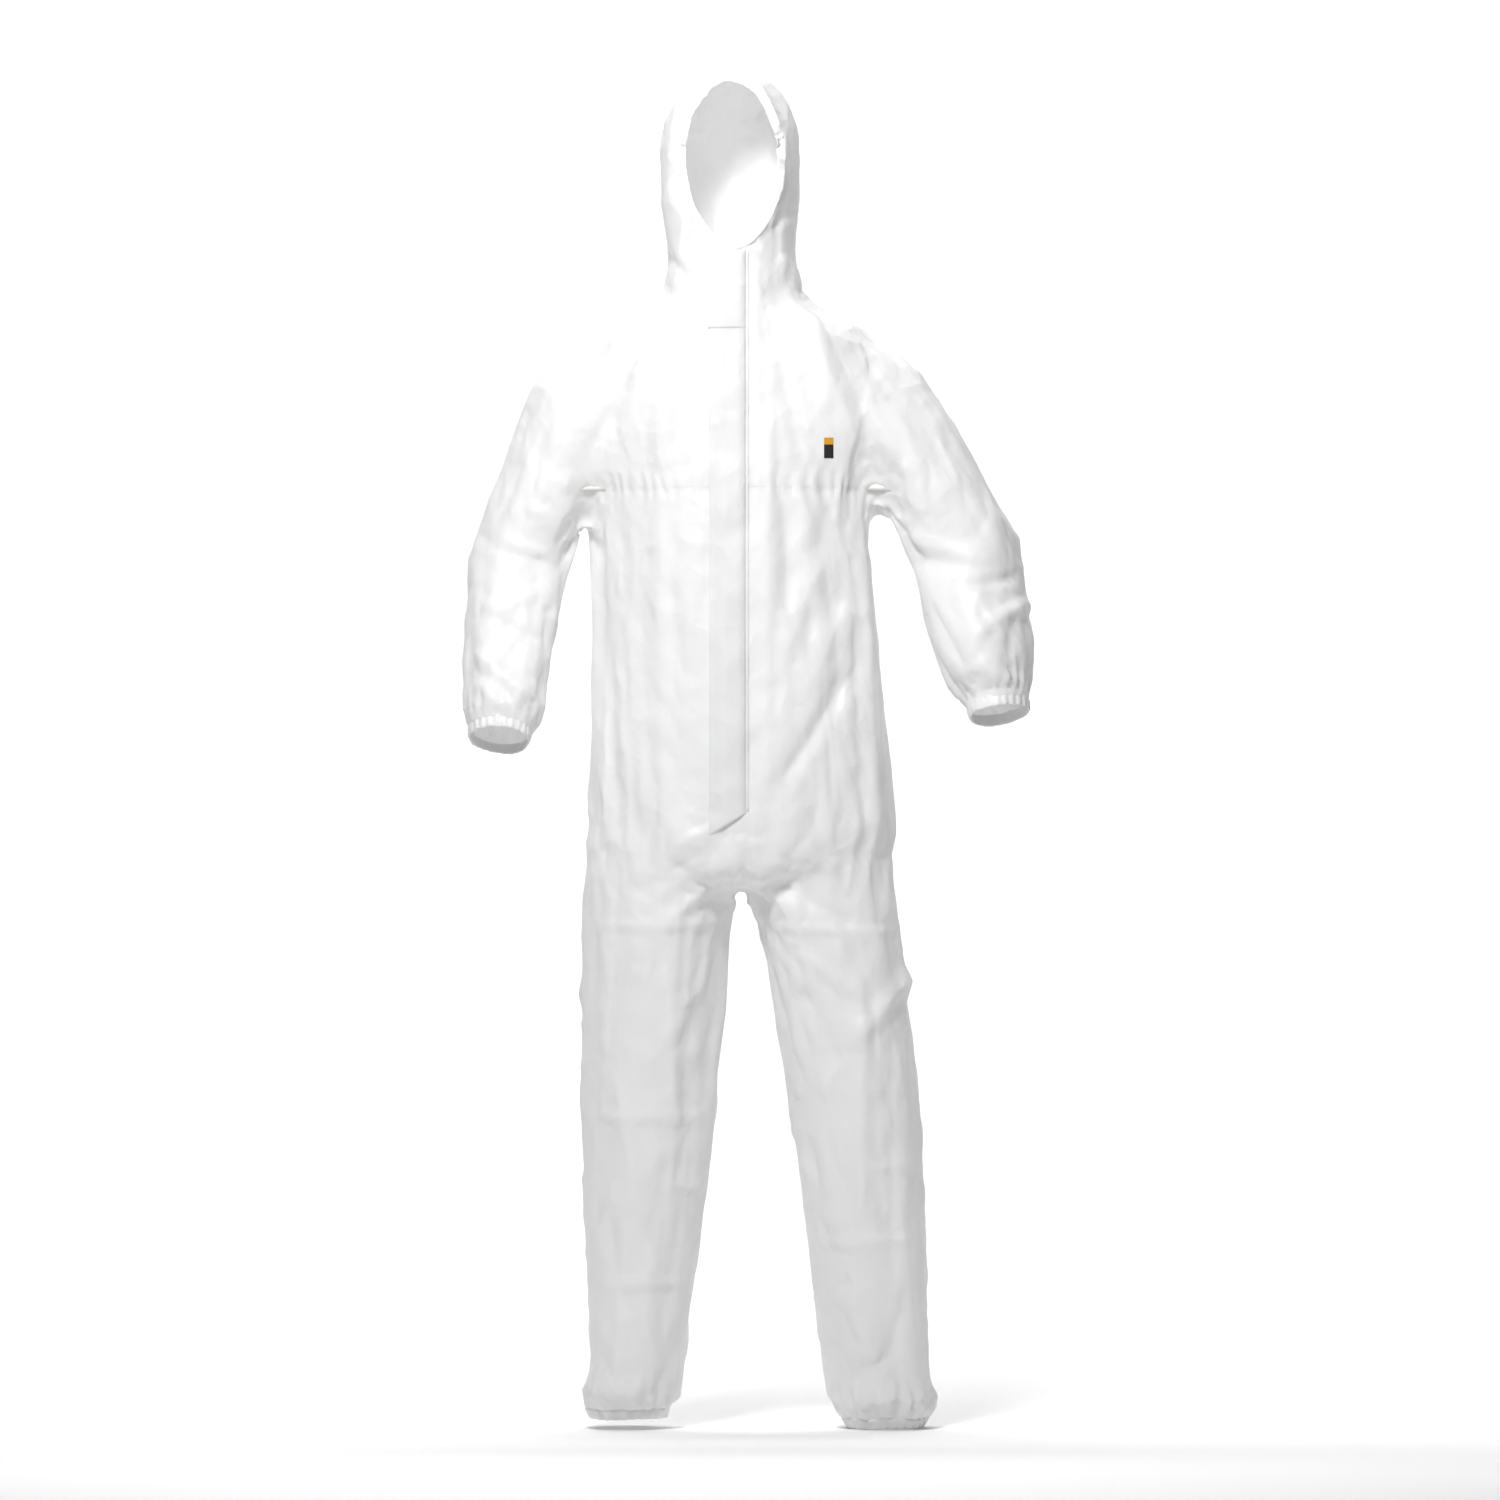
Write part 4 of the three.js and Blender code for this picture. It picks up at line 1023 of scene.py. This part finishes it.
def strip(name, x_of, zs, lift_of, thick, finish, columns=8, ripple=0.0, thin_end=1.0):
    """A closed strip on the front: x_of(v, z) runs from its free to its sewn edge, where it has
    thin_end of its thickness."""
    verts = []
    for side in (1, 0):
        for z in zs:
            for v in np.linspace(0, 1, columns):
                x, level = x_of(v, z)
                layer = side * thick * (1 - (1 - thin_end) * np.clip((v - 0.7) / 0.3, 0, 1))
                wave = ripple * noise.noise(Vector((x * 18, level * 11, 3.1)))
                verts.append(on_front(x, level, lift_of(x) + layer + wave))
    rows, faces = len(zs), []
    half = rows * columns
    for r in range(rows - 1):
        for c in range(columns - 1):
            a = r * columns + c
            faces.append((a, a + 1, a + columns + 1, a + columns))
            faces.append((half + a, half + a + columns, half + a + columns + 1, half + a + 1))
    rim = ([c for c in range(columns)] + [r * columns + columns - 1 for r in range(1, rows)]
           + [(rows - 1) * columns + c for c in range(columns - 2, -1, -1)]
           + [r * columns for r in range(rows - 2, 0, -1)])
    for a, b in zip(rim, rim[1:] + rim[:1]):
        faces.append((a, half + a, half + b, b))
    obj = piece(name, verts, faces, finish)
    consistent(obj)
    soften = obj.modifiers.new("Edge", "BEVEL")
    soften.width, soften.segments, soften.limit_method = 0.0003, 1, "ANGLE"
    return bake(obj)


def flap_lift(x):
    """Flat on the cloth at both edges and clear of the slider between."""
    over = np.clip((HINGE_X - x) / 0.007, 0, 1) * np.clip((x - FREE_X) / 0.022, 0, 1)
    return 0.0009 + 0.0033 * over * over * (3 - 2 * over)


def flap_x(v, z):
    bottom = FLAP_LOW_FREE + (FLAP_LOW_SEWN - FLAP_LOW_FREE) * v
    low_end = np.clip((z - POINT_TOP) / (FLAP_LOW_FREE - POINT_TOP), 0, 1)
    level = z + low_end * (bottom - FLAP_LOW_FREE)
    return FREE_X + (HINGE_X - FREE_X) * v, level


main_zs = np.concatenate([np.linspace(FLAP_LOW_FREE, POINT_TOP, 14)[:-1],
                          np.linspace(POINT_TOP, FLAP_SPLIT, 120)])
chin_zs = np.linspace(FLAP_SPLIT - 0.004, FLAP_TOP, 26)
plain = lambda lo, hi: (lambda v, z: (lo + (hi - lo) * v, z))
storm_flap = strip("storm_flap_cloth", flap_x, main_zs, flap_lift, 0.0008, LAMINATE, 14, 0.0009, 0.3)
chin_flap = strip("chin_flap_cloth", plain(FREE_X - 0.002, HINGE_X), chin_zs,
                  lambda x: flap_lift(x) + 0.0009 * np.clip((HINGE_X - x) / 0.02, 0.1, 1), 0.0008,
                  LAMINATE, 14, 0.0006, 0.3)
flap_seam = strip("flap_sewn_strip", plain(HINGE_X - 0.0025, SEWN_X), np.linspace(-0.674, FLAP_TOP, 130),
                  lambda x: 0.0002, 0.0006, LAMINATE, 4)
storm_tape = strip("storm_flap_tape", plain(-0.0345, -0.0225), np.linspace(-0.672, -0.043, 60),
                   lambda x: flap_lift(x) - 0.0005, 0.0003, LINER, 3)
chin_tape = strip("chin_flap_tape", plain(-0.0345, -0.0225), np.linspace(-0.029, 0.045, 12),
                  lambda x: flap_lift(x) + 0.0007, 0.0003, LINER, 3)
seam_lines["flap"] = np.array([on_front(0.0128, z, 0.0010) for z in np.linspace(-0.670, 0.060, 150)])
seam_lines["flap_edge"] = np.array([on_front(*flap_x(0.94, z), flap_lift(flap_x(0.94, z)[0]) + 0.0012)
                                    for z in main_zs[6:]])
print("flap over", round(FLAP_TOP - FLAP_LOW_FREE, 3), "metres")

# %% [markdown]
# The chest carries a small printed mark: a plain dark block with an amber bar. The care label is
# a blank tape sewn in behind the neck. Both lie on the cloth.

# %% Badge and label


def patch(name, x0, x1, z0, z1, columns, rows, face, lift, finish):
    """A small patch that lies on the cloth; face -1 is the outside of the front, 1 the inside
    of the back."""
    xs, zs, verts = np.linspace(x0, x1, columns), np.linspace(z0, z1, rows), []
    for z in zs:
        for x in xs:
            start = Vector((x, -0.5, z)) if face < 0 else Vector((x, 0, z))
            hit = skin.ray_cast(start, Vector((0, 1, 0)))[0]
            verts.append((x, hit.y - lift, z))
    faces = [(r * columns + c, r * columns + c + 1, (r + 1) * columns + c + 1, (r + 1) * columns + c)
             for r in range(rows - 1) for c in range(columns - 1)]
    return piece(name, verts, faces, finish)


badge = patch("chest_badge_print", 0.1135, 0.1260, -0.2085, -0.1815, 6, 10, -1, 0.0006, INK)
badge.data.materials.append(AMBER)
for face in badge.data.polygons:
    face.material_index = int(face.center.z > -0.1906)
care_label = patch("care_label_tape", -0.025, 0.009, -0.056, -0.010, 6, 8, 1, 0.0014, SATIN)

# %% [markdown]
# Stitches and zip teeth repeat one small shape along a line: points are set along it at an even
# pitch, the shape is copied to each and the copies are made real.

# %% Stitches and zip teeth


def repeat_group():
    group = bpy.data.node_groups.new("Repeat along a line", "GeometryNodeTree")
    face = group.interface
    for label, kind in {"Line": "Geometry", "Shape": "Object", "Pitch": "Float",
                        "Finish": "Material"}.items():
        face.new_socket(label, in_out="INPUT", socket_type=f"NodeSocket{kind}")
    face.new_socket("Result", in_out="OUTPUT", socket_type="NodeSocketGeometry")
    start = add(group, "NodeGroupInput", (-900, 0))
    curve = add(group, "GeometryNodeMeshToCurve", (-700, 0), {"Mesh": start.outputs["Line"]})
    points = add(group, "GeometryNodeCurveToPoints", (-500, 0), {
        "Curve": curve.outputs[0], "Length": start.outputs["Pitch"]}, mode="LENGTH")
    turn = add(group, "FunctionNodeAlignRotationToVector", (-300, -200), {
        "Vector": points.outputs["Tangent"]}, axis="Z")
    shape = add(group, "GeometryNodeObjectInfo", (-500, -300), {"Object": start.outputs["Shape"]})
    copies = add(group, "GeometryNodeInstanceOnPoints", (-100, 0), {
        "Points": points.outputs["Points"], "Instance": shape.outputs["Geometry"],
        "Rotation": turn.outputs["Rotation"]})
    real = add(group, "GeometryNodeRealizeInstances", (100, 0), {"Geometry": copies.outputs[0]})
    painted = add(group, "GeometryNodeSetMaterial", (300, 0), {
        "Geometry": real.outputs[0], "Material": start.outputs["Finish"]})
    end = add(group, "NodeGroupOutput", (500, 0))
    group.links.new(painted.outputs[0], end.inputs[0])
    return group


REPEAT = repeat_group()


def socket(name):
    return next(i.identifier for i in REPEAT.interface.items_tree
                if i.item_type == "SOCKET" and i.name == name)


def bead(name, half_x, half_y, half_z, taper):
    """A small four-sided bar with tapered ends."""
    verts = [(0, 0, -half_z), (0, 0, half_z)]
    for z in (-half_z * taper, half_z * taper):
        verts += [(half_x, 0, z), (0, half_y, z), (-half_x, 0, z), (0, -half_y, z)]
    faces = []
    for i in range(4):
        j = (i + 1) % 4
        faces += [(0, 2 + j, 2 + i), (2 + i, 2 + j, 6 + j, 6 + i), (1, 6 + i, 6 + j)]
    return make_object(name, verts, faces)


def repeated(name, line, shape, pitch, finish, closed=False):
    count = len(line)
    pairs = [(i, (i + 1) % count) for i in range(count if closed else count - 1)]
    obj = make_object(name, line, [], pairs)
    modifier = obj.modifiers.new("Repeat", "NODES")
    modifier.node_group = REPEAT
    modifier[socket("Shape")] = shape
    modifier[socket("Pitch")] = pitch
    modifier[socket("Finish")] = finish
    return bake(obj)


stitch = bead("stitch", 0.00028, 0.00028, 0.0014, 0.6)
STITCH_PITCH = 0.0036
stitches = {name: repeated(f"{name}_stitches", line, stitch, STITCH_PITCH, THREAD,
                           closed=name in CASINGS)
            for name, line in seam_lines.items()}
TOOTH_PITCH = 0.0016
teeth = {}
for name, side in SIDES.items():
    s = side["s"]
    corners = [(x * s, y, z) for x in (-0.0005, 0.0030) for y in (-0.0008, 0.0008)
               for z in (-0.0005, 0.0005)]
    tooth = make_object(f"{name}_tooth", corners, [(0, 1, 3, 2), (4, 6, 7, 5), (0, 4, 5, 1),
                                                   (2, 3, 7, 6), (0, 2, 6, 4), (1, 5, 7, 3)])
    consistent(tooth)
    shift = TOOTH_PITCH / 2 if s > 0 else 0
    line = [(0, -(front_at(z) - 2.6) * MM, z * MM - shift) for z in np.linspace(-667, 46, 40)]
    teeth[name] = repeated(f"zip_teeth_{name}", line, tooth, TOOTH_PITCH, COIL)
    bpy.data.objects.remove(tooth)
bpy.data.objects.remove(stitch)
bpy.data.objects.remove(garment)
print("stitches", sum(len(o.data.polygons) for o in stitches.values()),
      "faces, teeth", sum(len(o.data.polygons) for o in teeth.values()))

# %% [markdown]
# A piece sewn to one body follows it. Cloth that crosses a joint has its two bodies listed
# but is left where it hangs, and stands for the plain solids of that stretch.

# %% What moves with what


def arm_point(name, t):
    upper, lower, shoulder, elbow, end = arm_of(SIDES[name])
    beyond = t - UPPER_ARM
    return tuple((shoulder + upper * t if beyond < 0 else elbow + lower * beyond) * MM)


HOOD_BEND = ("torso", "hood", (0, 0, 0.052), (0, 0.008, 0.112))
moves, stands_for = {}, {}
for side in ("left", "right"):
    for face in ("front", "back"):
        moves[f"{face}_{side}"] = "torso"
        stands_for[f"{face}_{side}"] = [f"{face}_{side}_panel"]
        moves[f"{side}_thigh_{face}"] = ("torso", f"{side}_thigh", (0, 0, -0.790), (0, 0, -0.885))
        moves[f"{side}_shin_{face}"] = (f"{side}_thigh", f"{side}_shin",
                                        (0, 0, -0.985), (0, 0, -1.115))
        stands_for[f"{side}_thigh_{face}"] = [f"{side}_thigh_{face}"]
        stands_for[f"{side}_shin_{face}"] = [f"{side}_shin_{face}"]
    stands_for[f"{side}_thigh_front"].append(f"{side}_leg_hip")
    stands_for[f"{side}_shin_front"].append(f"{side}_leg_knee")
    for part in ("neck", "hood"):
        moves[f"{part}_{side}"] = HOOD_BEND
        stands_for[f"{part}_{side}"] = [f"{part}_{side}_panel"]
    moves[f"{side}_sleeve_upper"] = ("torso", f"{side}_upper_sleeve",
                                     arm_point(side, 94), arm_point(side, 175))
    moves[f"{side}_sleeve_lower"] = (f"{side}_upper_sleeve", f"{side}_lower_sleeve",
                                     arm_point(side, 205), arm_point(side, 300))
    stands_for[f"{side}_sleeve_upper"] = [f"{side}_sleeve_head", f"{side}_sleeve_arm"]
    stands_for[f"{side}_sleeve_lower"] = [f"{side}_sleeve_elbow", f"{side}_sleeve_forearm"]
moves["hood_centre"] = HOOD_BEND
stands_for["hood_centre"] = ["hood_centre_panel", "hood_neck_band"]


def move(obj, how, slot, *replaced):
    if isinstance(how, str):
        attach(obj, how)
    else:
        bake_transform(obj)
    if replaced:
        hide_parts(*replaced)


for label, obj in panels.items():
    move(obj, moves[label], "laminate", *stands_for[label])
edge_body = {"face": HOOD_BEND, "waist": "torso", "flap": "torso", "flap_edge": "storm_flap_body"}
for side in ("left", "right"):
    edge_body[f"{side}_cuff"] = f"{side}_lower_sleeve"
    edge_body[f"{side}_ankle"] = f"{side}_shin"
for name in CASINGS:
    node = "hood_face" if name == "face" else name
    move(casings[name], edge_body[name], "laminate", f"{node}_casing")
    move(elastics[name], edge_body[name], "elastic", f"{node}_elastic")
move(waist_elastic, "torso", "elastic", "waist_elastic")
move(storm_flap, "storm_flap_body", "laminate", "storm_flap")
move(chin_flap, "storm_flap_body", "laminate", "chin_flap")
move(flap_seam, "torso", "laminate", "flap_sewn_edge")
move(storm_tape, "storm_flap_body", "release_liner", "storm_flap_adhesive")
move(chin_tape, "storm_flap_body", "release_liner", "chin_flap_adhesive")
move(badge, "torso", "badge_print", "chest_badge")
move(care_label, "torso", "label_tape", "care_label")
for name in SIDES:
    move(teeth[name], "torso", "zip_coil", f"zip_coil_{name}")
for name, obj in stitches.items():
    move(obj, edge_body[name], "laminate")
for name, finish in {"zip_slider": PAINT, "zip_pull_tab": PAINT, "zip_top_stop_left": PAINT,
                     "zip_top_stop_right": PAINT, "zip_bottom_stop": PAINT, "zip_tape_left": TAPE,
                     "zip_tape_right": TAPE}.items():
    for held in nodes[name].material_slots:
        held.material = finish

# %% [markdown]
# The suit hangs in front of a plain pale sweep under soft light from the front and above, so the
# chest is bright and the legs fall off a little. The camera is level with the waist.

# %% Studio
FLOOR_Z = cad_low[2] - 0.0015
profile = [(-8.0, 0.0), (2.2, 0.0)]
profile += [(2.2 + 1.2 * math.sin(a), 1.2 - 1.2 * math.cos(a)) for a in np.linspace(0.1, math.pi / 2, 14)]
profile += [(3.4, 6.0)]
verts = [(x, y, FLOOR_Z + z) for y, z in profile for x in (-8, 8)]
faces = [(2 * i, 2 * i + 1, 2 * i + 3, 2 * i + 2) for i in range(len(profile) - 1)]
sweep = make_object("studio_sweep", verts, faces)
sweep.data.shade_smooth()
sweep.data.materials.append(material("pale studio paper", "#F6F6F6", 0.9))

world = bpy.data.worlds.new("studio")
scene.world = world
world.use_nodes = True
world.node_tree.nodes["Background"].inputs["Color"].default_value = linear("#FFFFFF")
world.node_tree.nodes["Background"].inputs["Strength"].default_value = 0.055


def lamp(name, place, target, width, height_m, energy):
    light = bpy.data.lights.new(name, "AREA")
    light.shape, light.size, light.size_y, light.energy = "RECTANGLE", width, height_m, energy
    obj = bpy.data.objects.new(name, light)
    obj.location = place
    obj.rotation_euler = (Vector(target) - Vector(place)).to_track_quat("-Z", "Y").to_euler()
    scene.collection.objects.link(obj)


lamp("key", (-0.4, -1.9, 1.2), (0, 0, -0.4), 0.5, 0.45, 68)
lamp("fill", (1.2, -2.6, 0.3), (0, 0, -0.5), 0.8, 1.0, 3)
lamp("backdrop", (0.0, 1.5, 2.9), (0, 3.4, -0.2), 6.0, 0.8, 200)

camera = bpy.data.cameras.new("camera")
camera.lens, camera.sensor_width = 300, 36
FRAME_HEIGHT = 1.9755
camera_object = bpy.data.objects.new("camera", camera)
camera_object.location = (0.016, -FRAME_HEIGHT * camera.lens / 36 - 0.1, -0.593)
camera_object.rotation_euler = (math.pi / 2, 0, 0)
scene.collection.objects.link(camera_object)
scene.camera = camera_object
scene.view_settings.view_transform = "Standard"
